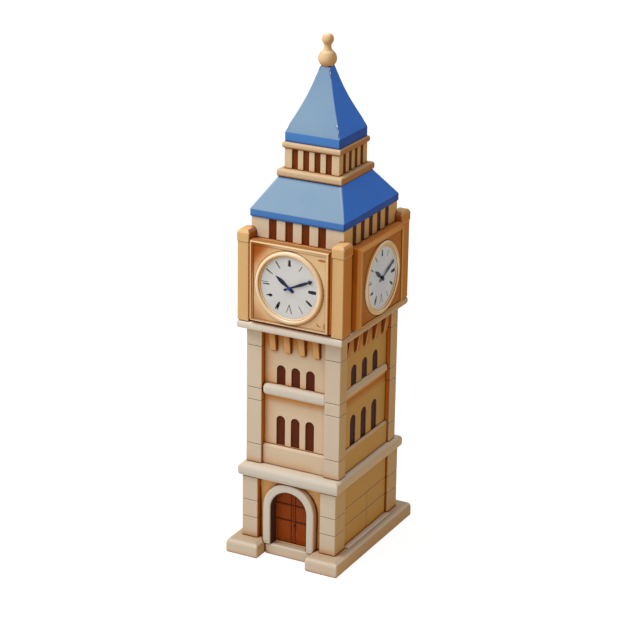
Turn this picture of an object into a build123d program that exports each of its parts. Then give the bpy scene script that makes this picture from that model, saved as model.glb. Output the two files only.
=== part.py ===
from build123d import *
import math
import os

# A free-standing clock tower in dressed stone, in millimetres.
# Origin: centre of the plinth's underside. +Z up, the door faces -Y.
# Every stage is centred on the Z axis. HALF values run from that axis to a face.

# ---------------------------------------------------------------- joints and fits
BED_JOINT = 0.6            # mortar gap between neighbouring stones of one course
FIT = 0.3                  # clearance of a panel, disc or bush in its seat
CUT_OVER = 50.0            # how far a cutting tool runs past the faces it cuts
SOFT_ARRIS = 25.0          # easing of a pier's vertical edges
WALL = 500.0               # thickness of every masonry wall

# ---------------------------------------------------------------- shaft (driving plan)
SHAFT_HALF_X = 2215.0
SHAFT_HALF_Y = 2686.0
SHAFT_PIER_X = 725.0
SHAFT_PIER_Y = 620.0
SHAFT_RECESS_X = 225.0     # side walls lie this far behind the pier faces
SHAFT_RECESS_Y = 255.0

# ---------------------------------------------------------------- heights
PLINTH_HEIGHT = 650.0
STRING_HEIGHT = 590.0
SHAFT_HEIGHT = 6120.0
CORNICE_HEIGHT = 350.0
CLOCK_HEIGHT = 3400.0      # clock stage walls
ATTIC_DECK_HEIGHT = 140.0
ATTIC_HEIGHT = 885.0
EAVES_HEIGHT = 310.0
LOWER_ROOF_HEIGHT = 1205.0
LANTERN_BASE_HEIGHT = 340.0
LANTERN_HEIGHT = 860.0
LANTERN_CORNICE_HEIGHT = 275.0
SPIRE_EAVES_HEIGHT = 385.0
SPIRE_HEIGHT = 2672.0

# ---------------------------------------------------------------- offsets of each stage
PLINTH_OUT_X = 465.0
PLINTH_OUT_Y = 954.0
GROUND_OUT_X = 25.0
GROUND_OUT_Y = 278.0
STRING_PROJECTION = 155.0
CORNICE_OUT_X = 255.0
CORNICE_OUT_Y = 414.0
CLOCK_OUT_X = 245.0
CLOCK_OUT_Y = 369.0
ATTIC_IN_X = 75.0
ATTIC_IN_Y = 236.0
EAVES_OUT_X = 38.0
EAVES_OUT_Y = 69.0
LANTERN_HALF = 1265.0
ROOF_TOP_MARGIN = 160.0
LANTERN_BASE_OUT = 245.0
LANTERN_CORNICE_OUT = 90.0
SPIRE_EAVES_IN = 5.0
SPIRE_TOP_HALF = 226.0

# ---------------------------------------------------------------- plinth, step and floor
PLINTH_ROUND = 180.0
FLOOR_TOP = 510.0
STEP_TOP = 520.0
STEP_MARGIN = 280.0        # step beyond the door opening on each side
STEP_ROUND = 90.0
DOOR_BAY_DEPTH = 680.0     # the plinth stands back this far in front of the door

# ---------------------------------------------------------------- ground storey
GROUND_PIER_X = 740.0
GROUND_PIER_Y = 930.0
GROUND_FRONT_RECESS = 264.0
GROUND_SIDE_RECESS = 110.0
GROUND_JOINTS = (920.0, 1710.0)
PIER_JOINT_WIDTH = 24.0
PIER_JOINT_DEPTH = 14.0

# ---------------------------------------------------------------- doorway
DOOR_ARCH_RADIUS = 860.0
DOOR_SPRING = 2215.0
SURROUND_BAND = 365.0
SURROUND_PROUD = 36.0      # beyond the pier faces
REBATE_DEPTH = 195.0       # lining behind the band, which the leaves close against
SWING_BAY_MARGIN = 100.0   # room behind the lining beside and over the arch, for the leaves to swing
VOUSSOIRS = 8
BAND_ROUND = 45.0

# ---------------------------------------------------------------- door leaves
LEAF_LAP = 40.0            # how far a leaf laps behind the arch
LEAF_SIDE_LAP = 55.0
LEAF_THICKNESS = 70.0
LEAF_CLEAR = 5.0
LEAF_GAP = 8.0             # between the meeting edges
PANEL_GROOVE = 22.0
PANEL_GROOVE_DEPTH = 12.0
STILE = 95.0
RAIL_HEIGHTS = (1550.0, 2290.0)
RAIL = 60.0
BOTTOM_RAIL = 120.0
KNOB_RADIUS = 42.0
KNOB_REACH = 70.0
KNOB_HEIGHT = 1406.0
KNOB_INSET = 70.0
HINGE_INSET = 30.0         # pin axis to the side of the swing bay
HINGE_BACK = 15.0          # pin axis behind the leaf's inner face
EYE_RADIUS = 22.0
PIN_RADIUS = 12.0
STRAP_LENGTH = 620.0
STRAP_HEIGHT = 80.0
STRAP_LEVELS = (900.0, 1950.0)
BRACKET_THICKNESS = 20.0
BRACKET_CLEAR = 2.0

# ---------------------------------------------------------------- shaft openings
LOWER_SILL = 940.0         # heights above the string course
LOWER_HEAD_FRONT = 2262.0
LOWER_HEAD_SIDE = 2350.0
UPPER_SILL = 3660.0
UPPER_HEAD_FRONT = 4550.0
UPPER_HEAD_SIDE = 4617.0
WINDOW_FRONT_PITCH = 690.0
WINDOW_FRONT_WIDTH = 415.0
WINDOW_SIDE_PITCH = 1000.0
WINDOW_SIDE_WIDTH = 525.0
WINDOWS_A_FACE = 3
SHUTTER_BACK = 45.0        # shutters stand this far behind the wall face
SHUTTER_THICKNESS = 60.0
SHAFT_JOINTS = (860.0, 2863.0, 3420.0, 5307.0)
APRON_HEIGHT_FRONT = 900.0
APRON_HEIGHT_SIDE = 990.0
APRON_PROUD = 125.0
APRON_SLOPE = 70.0
BAND_LOW_FRONT = 3170.0
BAND_HIGH_FRONT = 3670.0
BAND_LOW_SIDE = 3300.0
BAND_HIGH_SIDE = 3690.0
SILL_BAND_BACK_FRONT = 5.0
SILL_BAND_BACK_SIDE = 90.0
SILL_BAND_ROUND = 110.0
SECOND_FLOOR_TOP = 2720.0
FLOOR_THICKNESS = 220.0

# ---------------------------------------------------------------- corbels
CORBEL_TOTAL = 955.0
CORBEL_DEPTH = 270.0
CORBEL_FOOT = 115.0
CORBEL_TIP_ROUND = 60.0
CORBEL_WIDTH = 300.0
CORBEL_FRONT_COUNT = 4
CORBEL_FRONT_PITCH = 680.0
CORBEL_SIDE_COUNT = 5
CORBEL_SIDE_PITCH = 850.0

# ---------------------------------------------------------------- clock stage
CLOCK_PIER_X = 540.0
CLOCK_PIER_Y = 770.0
CLOCK_PIER_HEIGHT = 3455.0
CAP_HEIGHT = 505.0
CAP_OUT = 30.0
CAP_ROUND = 150.0
CLOCK_RECESS_X = 120.0
CLOCK_RECESS_Y = 210.0
FRAME_SILL = 130.0         # above the cornice
FRAME_HEIGHT = 3495.0
FRAME_MARGIN_FRONT = 95.0  # between the frame and the piers beside it
FRAME_MARGIN_SIDE = 340.0
FRAME_THICKNESS_FRONT = 240.0
FRAME_THICKNESS_SIDE = 340.0
FRAME_BORDER_SIDE = 150.0
FRAME_BORDER_FOOT = 95.0
FRAME_BORDER_HEAD = 200.0
FRAME_BORDER_PROUD = 60.0
DIAL_CENTRE = 1815.0       # above the cornice
DIAL_RADIUS = 1330.0
DIAL_THICKNESS = 80.0
BEZEL_LAP = 10.0           # bezel over the dial's rim
BEZEL_WIDTH = 260.0
BEZEL_PROUD = 120.0
BEZEL_EASE = 55.0
BEZEL_PARTS = 8

# ---------------------------------------------------------------- hands
ARBOR_RADIUS = 40.0
HAND_THICKNESS = 20.0
HAND_GAP = 12.0
HOUR_REACH = 0.58           # hand length over the dial's radius
HOUR_HUB = 85.0
HOUR_WIDTH = 78.0
HOUR_TAIL = 190.0
MINUTE_REACH = 0.89
MINUTE_HUB = 70.0
MINUTE_WIDTH = 60.0
MINUTE_TAIL = 260.0
HAND_TIP = 14.0
ARBOR_CAP = 62.0
HOUR_ANGLE = 305.5         # clockwise from twelve
MINUTE_ANGLE = 66.0

# ---------------------------------------------------------------- belfry stage under the lower roof
ATTIC_DEPTH = 350.0
ATTIC_FRONT_COUNT = 4
ATTIC_FRONT_PITCH = 760.0
ATTIC_FRONT_OPENING = 350.0
ATTIC_SIDE_COUNT = 5
ATTIC_SIDE_PITCH = 745.0
ATTIC_SIDE_OPENING = 370.0
LOUVRE_BACK = 55.0
LOUVRE_THICKNESS = 60.0

# ---------------------------------------------------------------- roofs and lantern
EAVES_WALL_PLATE = 390.0
ROOF_TOP_RING = 190.0
LANTERN_COUNT = 4
LANTERN_PITCH = 520.0
LANTERN_OPENING = 270.0
LANTERN_DEPTH = 250.0
LANTERN_BASE_ROUND = 110.0
LANTERN_CORNICE_ROUND = 80.0
SPIRE_SHELL = 150.0
SPIRE_WAIST = ((246.0, 587.0), (448.0, 1010.0), (563.0, 1294.0), (727.0, 1720.0), (878.0, 2161.0))

# ---------------------------------------------------------------- finial
LOWER_BALL = 385.0
UPPER_BALL = 246.0
NECK_RADIUS = 152.0
NECK_RISE = 834.0          # neck above the spire's top
UPPER_BALL_RISE = 1106.0

# ---------------------------------------------------------------- levels that follow
GROUND_Z = PLINTH_HEIGHT
STRING_Z = DOOR_SPRING + DOOR_ARCH_RADIUS + SURROUND_BAND
SHAFT_Z = STRING_Z + STRING_HEIGHT
CORNICE_Z = SHAFT_Z + SHAFT_HEIGHT
CLOCK_Z = CORNICE_Z + CORNICE_HEIGHT
ATTIC_DECK_Z = CLOCK_Z + CLOCK_HEIGHT
ATTIC_Z = ATTIC_DECK_Z + ATTIC_DECK_HEIGHT
EAVES_Z = ATTIC_Z + ATTIC_HEIGHT
SLOPE_Z = EAVES_Z + EAVES_HEIGHT
LANTERN_BASE_Z = SLOPE_Z + LOWER_ROOF_HEIGHT
LANTERN_Z = LANTERN_BASE_Z + LANTERN_BASE_HEIGHT
LANTERN_CORNICE_Z = LANTERN_Z + LANTERN_HEIGHT
SPIRE_EAVES_Z = LANTERN_CORNICE_Z + LANTERN_CORNICE_HEIGHT
SPIRE_Z = SPIRE_EAVES_Z + SPIRE_EAVES_HEIGHT
FINIAL_Z = SPIRE_Z + SPIRE_HEIGHT

# ---------------------------------------------------------------- plans that follow
GROUND_HALF_X = SHAFT_HALF_X + GROUND_OUT_X
GROUND_HALF_Y = SHAFT_HALF_Y + GROUND_OUT_Y
PLINTH_HALF_X = SHAFT_HALF_X + PLINTH_OUT_X
PLINTH_HALF_Y = SHAFT_HALF_Y + PLINTH_OUT_Y
STRING_HALF_X = GROUND_HALF_X + STRING_PROJECTION
STRING_HALF_Y = GROUND_HALF_Y + STRING_PROJECTION
CORNICE_HALF_X = SHAFT_HALF_X + CORNICE_OUT_X
CORNICE_HALF_Y = SHAFT_HALF_Y + CORNICE_OUT_Y
CLOCK_HALF_X = SHAFT_HALF_X + CLOCK_OUT_X
CLOCK_HALF_Y = SHAFT_HALF_Y + CLOCK_OUT_Y
ATTIC_HALF_X = SHAFT_HALF_X - ATTIC_IN_X
ATTIC_HALF_Y = SHAFT_HALF_Y - ATTIC_IN_Y
EAVES_HALF_X = ATTIC_HALF_X + EAVES_OUT_X
EAVES_HALF_Y = ATTIC_HALF_Y + EAVES_OUT_Y
ROOF_TOP_HALF = LANTERN_HALF + ROOF_TOP_MARGIN
LANTERN_BASE_HALF = LANTERN_HALF + LANTERN_BASE_OUT
LANTERN_CORNICE_HALF = LANTERN_HALF + LANTERN_CORNICE_OUT
SPIRE_EAVES_HALF = LANTERN_HALF - SPIRE_EAVES_IN

GROUND_FACE_Y = GROUND_HALF_Y - GROUND_FRONT_RECESS
GROUND_FACE_X = GROUND_HALF_X - GROUND_SIDE_RECESS
GROUND_IN_X = GROUND_FACE_X - WALL
GROUND_IN_Y = GROUND_FACE_Y - WALL
SHAFT_FACE_X = SHAFT_HALF_X - SHAFT_RECESS_X
SHAFT_FACE_Y = SHAFT_HALF_Y - SHAFT_RECESS_Y
SHAFT_IN_X = SHAFT_FACE_X - WALL
SHAFT_IN_Y = SHAFT_FACE_Y - WALL
CLOCK_FACE_X = CLOCK_HALF_X - CLOCK_RECESS_X
CLOCK_FACE_Y = CLOCK_HALF_Y - CLOCK_RECESS_Y
SURROUND_Y = GROUND_HALF_Y + SURROUND_PROUD
STEP_NOTCH_HALF = DOOR_ARCH_RADIUS + STEP_MARGIN
SWING_BAY_HALF = DOOR_ARCH_RADIUS + SWING_BAY_MARGIN
SWING_BAY_TOP = DOOR_SPRING + DOOR_ARCH_RADIUS + SWING_BAY_MARGIN
LINING_Y = GROUND_FACE_Y - REBATE_DEPTH
LEAF_FRONT_Y = LINING_Y - LEAF_CLEAR
LEAF_BACK_Y = LEAF_FRONT_Y - LEAF_THICKNESS
HINGE_X = SWING_BAY_HALF - HINGE_INSET
HINGE_Y = LEAF_BACK_Y - HINGE_BACK
DIAL_Z = CLOCK_Z + DIAL_CENTRE
HOUR_LENGTH = HOUR_REACH * DIAL_RADIUS
MINUTE_LENGTH = MINUTE_REACH * DIAL_RADIUS
FRAME_DEPTH = {
    "front": FRAME_THICKNESS_FRONT,
    "back": FRAME_THICKNESS_FRONT,
    "left": FRAME_THICKNESS_SIDE,
    "right": FRAME_THICKNESS_SIDE,
}
BEZEL_INNER = DIAL_RADIUS - BEZEL_LAP
BEZEL_OUTER = BEZEL_INNER + BEZEL_WIDTH


# ---------------------------------------------------------------- shared tools
def block(x_low, x_high, y_low, y_high, z_low, z_high):
    """Plain rectangular stone between two opposite corners."""
    size = Box(x_high - x_low, y_high - y_low, z_high - z_low)
    return Pos((x_low + x_high) / 2, (y_low + y_high) / 2, (z_low + z_high) / 2) * size


def centred(half_x, half_y, z_low, z_high):
    """Rectangular mass centred on the tower's axis."""
    return block(-half_x, half_x, -half_y, half_y, z_low, z_high)


def front_and_back(solids):
    """The front pieces and their mirror images at the back."""
    return solids + [mirror(solid, about=Plane.XZ) for solid in solids]


def left_and_right(solids):
    """The right-hand pieces and their mirror images on the left."""
    return solids + [mirror(solid, about=Plane.YZ) for solid in solids]


def four_corners(solid):
    """One corner piece repeated at all four corners."""
    return front_and_back(left_and_right([solid]))


def write(node, shapes):
    """Write one node: every solid of the shapes, in one STEP file."""
    solids = [solid for shape in shapes for solid in shape.solids()]
    export_step(Compound(children=solids), f"parts/{node}.step")


def row(count, pitch):
    """Centres of a row of like pieces, centred on zero."""
    return [(index - (count - 1) / 2) * pitch for index in range(count)]


def clear_of_front_walls(side_wall, half_x, face_y, z_low, z_high):
    """A side wall stopped against the front and back walls, however thick the walls are."""
    for front_wall in front_and_back([block(-half_x, half_x, -face_y, WALL - face_y, z_low, z_high)]):
        side_wall -= front_wall
    return side_wall


def arch_profile(width, low, high):
    """Round-headed outline, upright, from its sill to its crown."""
    radius = width / 2
    straight = Pos(0, (low + high - radius) / 2) * Rectangle(width, high - radius - low)
    return straight + Pos(0, high - radius) * Circle(radius)


def face_plane(face, offset):
    """Upright plane of one face of the tower: its X runs to the right seen from outside."""
    directions = {"front": (0, -1), "back": (0, 1), "right": (1, 0), "left": (-1, 0)}
    out_x, out_y = directions[face]
    return Plane(origin=(out_x * offset, out_y * offset, 0), x_dir=(-out_y, out_x, 0), z_dir=(out_x, out_y, 0))


# ---------------------------------------------------------------- rings and piers
def rounded_slab(half_x, half_y, z_low, z_high, radius):
    """Slab whose top and bottom outer edges are rounded and meet in a mitre at each corner."""
    slab = centred(half_x, half_y, z_low, z_high)
    middle = (z_low + z_high) / 2
    rolled = []
    for along, turned, half in ((Axis.X, Plane.YZ, half_y), (Axis.Y, Plane.XZ, half_x)):
        profile = Pos(0, middle) * RectangleRounded(2 * half, z_high - z_low, radius)
        reach = half_x if along is Axis.X else half_y
        rolled.append(extrude(turned * profile, reach, both=True))
    return slab & rolled[0] & rolled[1]


def cut_into_lengths(ring, inner_half_y, reach, z_low, z_high):
    """Divide a ring of stone into front, back and two side lengths by fine bed joints."""
    for side in (-1, 1):
        joint_y = side * (inner_half_y + BED_JOINT / 2)
        low, high = joint_y - BED_JOINT / 2, joint_y + BED_JOINT / 2
        ring -= block(-reach, reach, low, high, z_low - CUT_OVER, z_high + CUT_OVER)
    return ring


def moulded_ring(half_x, half_y, inner_x, inner_y, z_low, z_high, radius):
    """Bullnosed course round the tower, in four lengths."""
    ring = rounded_slab(half_x, half_y, z_low, z_high, radius)
    ring -= centred(inner_x, inner_y, z_low - CUT_OVER, z_high + CUT_OVER)
    return cut_into_lengths(ring, inner_y, half_x + CUT_OVER, z_low, z_high)


def jointed_pier(half_x, half_y, size_x, size_y, z_low, z_high, joints):
    """Corner pier with eased arrises and a sunk joint at each given height above its foot."""
    pier = block(half_x - size_x, half_x, half_y - size_y, half_y, z_low, z_high)
    pier = chamfer(pier.edges().filter_by(Axis.Z), SOFT_ARRIS)
    for rise in joints:
        low = z_low + rise - PIER_JOINT_WIDTH / 2
        high = low + PIER_JOINT_WIDTH
        outer = block(half_x - size_x - 1, half_x + 1, half_y - size_y - 1, half_y + 1, low, high)
        depth = PIER_JOINT_DEPTH
        core = block(half_x - size_x + depth, half_x - depth, half_y - size_y + depth, half_y - depth, low, high)
        pier -= outer - core
    return pier


# ---------------------------------------------------------------- plinth, step, ground floor
def base_plinth():
    """Thick rounded kerb stones round the foot, open in front of the door."""
    slab = rounded_slab(PLINTH_HALF_X, PLINTH_HALF_Y, 0, PLINTH_HEIGHT, PLINTH_ROUND)
    reach = PLINTH_HALF_Y + CUT_OVER
    top = PLINTH_HEIGHT + CUT_OVER
    slab -= centred(GROUND_IN_X, GROUND_IN_Y, -CUT_OVER, top)
    slab -= block(-STEP_NOTCH_HALF, STEP_NOTCH_HALF, -reach, 0, -CUT_OVER, top)
    for side in (-1, 1):
        joint_x = side * (GROUND_IN_X + BED_JOINT / 2)
        slab -= block(joint_x - BED_JOINT / 2, joint_x + BED_JOINT / 2, -reach, reach, -CUT_OVER, top)
    return [slab]


def door_step():
    """Step stone between the two front plinth blocks."""
    front = -(PLINTH_HALF_Y - DOOR_BAY_DEPTH)
    step = block(-STEP_NOTCH_HALF, STEP_NOTCH_HALF, front, -GROUND_IN_Y - BED_JOINT, 0, STEP_TOP)
    front_edges = step.edges().filter_by(Axis.X).group_by(Axis.Y)[0]
    return [fillet(front_edges.sort_by(Axis.Z)[-1], STEP_ROUND)]


def ground_floor():
    """Paved raft inside the plinth's kerbs."""
    return [centred(GROUND_IN_X, GROUND_IN_Y, 0, FLOOR_TOP)]


# ---------------------------------------------------------------- ground storey
def ground_piers():
    """Four corner piers of the ground storey."""
    pier = jointed_pier(GROUND_HALF_X, GROUND_HALF_Y, GROUND_PIER_X, GROUND_PIER_Y, GROUND_Z, STRING_Z, GROUND_JOINTS)
    return four_corners(pier)


def ground_walls():
    """Ground storey walls: the front one is split beside and over the door's swing bay."""
    pier_x = GROUND_HALF_X - GROUND_PIER_X
    pier_y = GROUND_HALF_Y - GROUND_PIER_Y
    outer, inner = GROUND_FACE_Y, GROUND_IN_Y
    beside = block(SWING_BAY_HALF, pier_x, -outer, -inner, GROUND_Z, STRING_Z)
    head = block(-SWING_BAY_HALF, SWING_BAY_HALF, -outer, -inner, SWING_BAY_TOP, STRING_Z)
    side = block(GROUND_IN_X, GROUND_FACE_X, -pier_y, pier_y, GROUND_Z, STRING_Z)
    return {
        "ground_wall_front_right": [beside],
        "ground_wall_front_left": [mirror(beside, about=Plane.YZ)],
        "ground_wall_front_head": [head],
        "ground_wall_back": [block(-pier_x, pier_x, inner, outer, GROUND_Z, STRING_Z)],
        "ground_wall_right": [side],
        "ground_wall_left": [mirror(side, about=Plane.YZ)],
    }


def door_surround():
    """Arched stone surround: a proud rounded band in front, a rebated lining behind it."""
    plane = face_plane("front", GROUND_FACE_Y)
    outer = DOOR_ARCH_RADIUS + SURROUND_BAND
    band = arch_profile(2 * outer, STEP_TOP, DOOR_SPRING + outer)
    hole = arch_profile(2 * DOOR_ARCH_RADIUS, STEP_TOP - CUT_OVER, DOOR_SPRING + DOOR_ARCH_RADIUS)
    front = extrude(plane * band, SURROUND_Y - GROUND_FACE_Y)
    front = fillet(front.faces().sort_by(Axis.Y)[0].edges().filter_by(lambda edge: edge.center().Z > STEP_TOP + 1), BAND_ROUND)
    lining_height = SWING_BAY_TOP - STEP_TOP
    lining = Pos(0, STEP_TOP + lining_height / 2) * Rectangle(2 * SWING_BAY_HALF, lining_height)
    rear = extrude(plane * lining, -REBATE_DEPTH)
    whole = front + rear
    whole -= extrude(face_plane("front", LINING_Y - CUT_OVER) * hole, SURROUND_Y - LINING_Y + 2 * CUT_OVER)
    plinth_block = block(STEP_NOTCH_HALF, 2 * outer, -2 * SURROUND_Y, 0, 0, PLINTH_HEIGHT)
    for kerb in left_and_right([plinth_block]):
        whole -= kerb
    reach = 2 * outer
    depth = SURROUND_Y - LINING_Y + 2 * CUT_OVER
    middle_y = -(SURROUND_Y + LINING_Y) / 2
    for index in range(VOUSSOIRS + 1):
        angle = 180.0 * index / VOUSSOIRS
        blade = Pos(reach / 2, 0, 0) * Box(reach, depth, BED_JOINT)
        whole -= Pos(0, middle_y, DOOR_SPRING) * Rot(0, -angle, 0) * blade
    return [whole]


# ---------------------------------------------------------------- door leaves and their hinges
def door_outline(grow):
    """Right-hand half of the door's arched outline, grown outwards by a margin (negative shrinks)."""
    radius = DOOR_ARCH_RADIUS + LEAF_LAP + grow
    side = DOOR_ARCH_RADIUS + LEAF_SIDE_LAP + grow
    low = STEP_TOP + 2 * LEAF_CLEAR - grow
    body = Pos(side / 2, (low + DOOR_SPRING) / 2) * Rectangle(side, DOOR_SPRING - low)
    quarter = Pos(0, DOOR_SPRING) * Circle(radius) & Pos(side / 2, DOOR_SPRING + radius / 2) * Rectangle(side, radius)
    return body + quarter


def leaf_panels():
    """Outlines of the three sunk grooves on a leaf: two square panels and an arched one."""
    left = LEAF_GAP / 2 + STILE
    right = DOOR_ARCH_RADIUS - STILE
    low = STEP_TOP + 2 * LEAF_CLEAR + BOTTOM_RAIL
    inner = door_outline(-STILE - LEAF_LAP)
    bounds = ((low, RAIL_HEIGHTS[0]), (RAIL_HEIGHTS[0] + RAIL, RAIL_HEIGHTS[1]), (RAIL_HEIGHTS[1] + RAIL, STRING_Z))
    outlines = []
    for bottom, top in bounds:
        window = Pos((left + right) / 2, (bottom + top) / 2) * Rectangle(right - left, top - bottom)
        outlines.append(window & inner)
    return outlines


def door_leaf(with_knob):
    """Right-hand door leaf: arched panelled timber with two strap hinges on its inner face."""
    plane = face_plane("front", LEAF_FRONT_Y)
    outline = door_outline(0) & Pos(SWING_BAY_HALF + LEAF_GAP / 2, DOOR_SPRING) * Rectangle(2 * SWING_BAY_HALF, 4 * DOOR_SPRING)
    leaf = extrude(plane * outline, -LEAF_THICKNESS)
    for panel in leaf_panels():
        groove = panel - offset(panel, -PANEL_GROOVE)
        leaf -= extrude(plane * groove, -PANEL_GROOVE_DEPTH)
        inner_plane = face_plane("front", LEAF_BACK_Y)
        leaf -= extrude(inner_plane * groove, PANEL_GROOVE_DEPTH)
    for level in STRAP_LEVELS:
        strap = block(HINGE_X - STRAP_LENGTH, HINGE_X, -LEAF_BACK_Y, -LEAF_BACK_Y + HINGE_BACK, level, level + STRAP_HEIGHT)
        eye = Pos(HINGE_X, -HINGE_Y, level + STRAP_HEIGHT / 2) * Cylinder(EYE_RADIUS, STRAP_HEIGHT)
        bore = Pos(HINGE_X, -HINGE_Y, level + STRAP_HEIGHT / 2) * Cylinder(PIN_RADIUS + FIT, STRAP_HEIGHT + 2)
        leaf = leaf + strap + eye - bore
    if with_knob:
        shank = Pos(LEAF_GAP / 2 + KNOB_INSET, -LEAF_FRONT_Y - KNOB_REACH / 2, KNOB_HEIGHT)
        leaf += shank * (Rot(90, 0, 0) * Cylinder(KNOB_RADIUS / 2, KNOB_REACH))
        leaf += Pos(LEAF_GAP / 2 + KNOB_INSET, -LEAF_FRONT_Y - KNOB_REACH, KNOB_HEIGHT) * Sphere(KNOB_RADIUS)
    return leaf


def door_pintles():
    """Hinge pins, each on a bracket let into the side of the swing bay."""
    pieces = []
    for level in STRAP_LEVELS:
        top = level - BRACKET_CLEAR
        half = PIN_RADIUS
        plate = block(HINGE_X - half, SWING_BAY_HALF, -HINGE_Y - half, -HINGE_Y + half, top - BRACKET_THICKNESS, top)
        height = BRACKET_CLEAR + STRAP_HEIGHT
        pin = Pos(HINGE_X, -HINGE_Y, top + height / 2) * Cylinder(PIN_RADIUS, height)
        pieces.append(plate + pin)
    return left_and_right(pieces)


# ---------------------------------------------------------------- string course, floors
def string_course():
    """Heavy bullnosed course over the ground storey."""
    return [moulded_ring(STRING_HALF_X, STRING_HALF_Y, SHAFT_IN_X, SHAFT_IN_Y, STRING_Z, SHAFT_Z, STRING_HEIGHT * 0.36)]


def floor_slab(top):
    """Floor slab spanning between the shaft's walls."""
    return [centred(SHAFT_IN_X, SHAFT_IN_Y, top - FLOOR_THICKNESS, top)]


# ---------------------------------------------------------------- shaft
def shaft_piers():
    """Four corner piers of the shaft."""
    pier = jointed_pier(SHAFT_HALF_X, SHAFT_HALF_Y, SHAFT_PIER_X, SHAFT_PIER_Y, SHAFT_Z, CORNICE_Z, SHAFT_JOINTS)
    return four_corners(pier)


def window_rows(face):
    """Sill and head heights of both window rows on a face, with their pitch and width."""
    if face in ("front", "back"):
        heads = (LOWER_HEAD_FRONT, UPPER_HEAD_FRONT)
        return heads, WINDOW_FRONT_PITCH, WINDOW_FRONT_WIDTH
    return (LOWER_HEAD_SIDE, UPPER_HEAD_SIDE), WINDOW_SIDE_PITCH, WINDOW_SIDE_WIDTH


def window_outlines(face, margin):
    """Round-headed outlines of the windows of a face, made smaller all round but at the sill."""
    heads, pitch, width = window_rows(face)
    outlines = []
    for sill, head in zip((LOWER_SILL, UPPER_SILL), heads):
        shape = arch_profile(width - 2 * margin, SHAFT_Z + sill, SHAFT_Z + head - margin)
        outlines += [Pos(centre, 0) * shape for centre in row(WINDOWS_A_FACE, pitch)]
    return outlines


def shaft_wall(face):
    """Shaft wall between two piers, with its two rows of windows cut through."""
    if face in ("front", "back"):
        half, outer = SHAFT_HALF_X - SHAFT_PIER_X, SHAFT_FACE_Y
    else:
        half, outer = SHAFT_HALF_Y - SHAFT_PIER_Y, SHAFT_FACE_X
    plane = face_plane(face, outer)
    sheet = Pos(0, (SHAFT_Z + CORNICE_Z) / 2) * Rectangle(2 * half, SHAFT_HEIGHT)
    wall = extrude(plane * sheet, -WALL)
    cutting_plane = face_plane(face, outer + CUT_OVER)
    for outline in window_outlines(face, 0):
        wall -= extrude(cutting_plane * outline, -WALL - 2 * CUT_OVER)
    if face in ("left", "right"):
        wall = clear_of_front_walls(wall, SHAFT_HALF_X - SHAFT_PIER_X, SHAFT_FACE_Y, SHAFT_Z, CORNICE_Z)
    return [wall]


def window_shutters():
    """Boarded timber shutters standing in every window of the shaft."""
    shutters = []
    for face in ("front", "back", "left", "right"):
        outer = SHAFT_FACE_Y if face in ("front", "back") else SHAFT_FACE_X
        plane = face_plane(face, outer - SHUTTER_BACK)
        for outline in window_outlines(face, FIT):
            shutters.append(extrude(plane * outline, -SHUTTER_THICKNESS))
    return shutters


def shaft_face_rows():
    """Each face of the shaft with its wall offset, pier offset and half width between piers."""
    across_x = SHAFT_HALF_X - SHAFT_PIER_X
    across_y = SHAFT_HALF_Y - SHAFT_PIER_Y
    return (
        ("front", SHAFT_FACE_Y, SHAFT_HALF_Y, across_x),
        ("back", SHAFT_FACE_Y, SHAFT_HALF_Y, across_x),
        ("left", SHAFT_FACE_X, SHAFT_HALF_X, across_y),
        ("right", SHAFT_FACE_X, SHAFT_HALF_X, across_y),
    )


def window_aprons():
    """Plain raised aprons under the lower windows, with a weathered top."""
    aprons = []
    for face, wall, _, half in shaft_face_rows():
        height = APRON_HEIGHT_FRONT if face in ("front", "back") else APRON_HEIGHT_SIDE
        sheet = Pos(0, SHAFT_Z + height / 2) * Rectangle(2 * half, height)
        apron = extrude(face_plane(face, wall) * sheet, APRON_PROUD)
        along = Axis.X if face in ("front", "back") else Axis.Y
        outward = face_plane(face, 0).z_dir
        top_edges = apron.edges().filter_by(along).group_by(Axis.Z)[-1]
        top_edge = top_edges.sort_by(lambda edge: edge.center().dot(outward))[-1]
        aprons.append(chamfer(top_edge, APRON_SLOPE))
    return aprons


def sill_bands():
    """Rounded band under the upper windows, between the piers."""
    bands = []
    for face, wall, pier, half in shaft_face_rows():
        front = face in ("front", "back")
        low, high = (BAND_LOW_FRONT, BAND_HIGH_FRONT) if front else (BAND_LOW_SIDE, BAND_HIGH_SIDE)
        back = SILL_BAND_BACK_FRONT if front else SILL_BAND_BACK_SIDE
        sheet = Pos(0, SHAFT_Z + (low + high) / 2) * Rectangle(2 * half, high - low)
        band = extrude(face_plane(face, wall) * sheet, pier - back - wall)
        along = Axis.X if front else Axis.Y
        outward = face_plane(face, 0).z_dir
        outer_edges = band.edges().filter_by(along).sort_by(lambda edge: edge.center().dot(outward))[-2:]
        bands.append(fillet(outer_edges, SILL_BAND_ROUND if front else SILL_BAND_ROUND * 0.8))
    return bands


def corbel(face, wall, centre):
    """One tapering corbel on a wall: deep under the cornice, with a rounded foot."""
    top = CORNICE_Z
    foot = CORNICE_Z - CORBEL_TOTAL
    outline = Polyline((0, foot), (CORBEL_FOOT - CORBEL_TIP_ROUND, foot), (CORBEL_FOOT, foot + CORBEL_TIP_ROUND),
                       (CORBEL_DEPTH, top), (0, top), close=True)
    profile = make_face(outline)
    base = face_plane(face, wall)
    across = base.x_dir
    origin = base.origin + across * (centre - CORBEL_WIDTH / 2)
    plane = Plane(origin=origin, x_dir=base.z_dir, z_dir=across)
    if plane.y_dir.Z < 0:
        plane = Plane(origin=base.origin + across * (centre + CORBEL_WIDTH / 2), x_dir=base.z_dir, z_dir=-across)
    return extrude(plane * profile, CORBEL_WIDTH)


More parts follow.
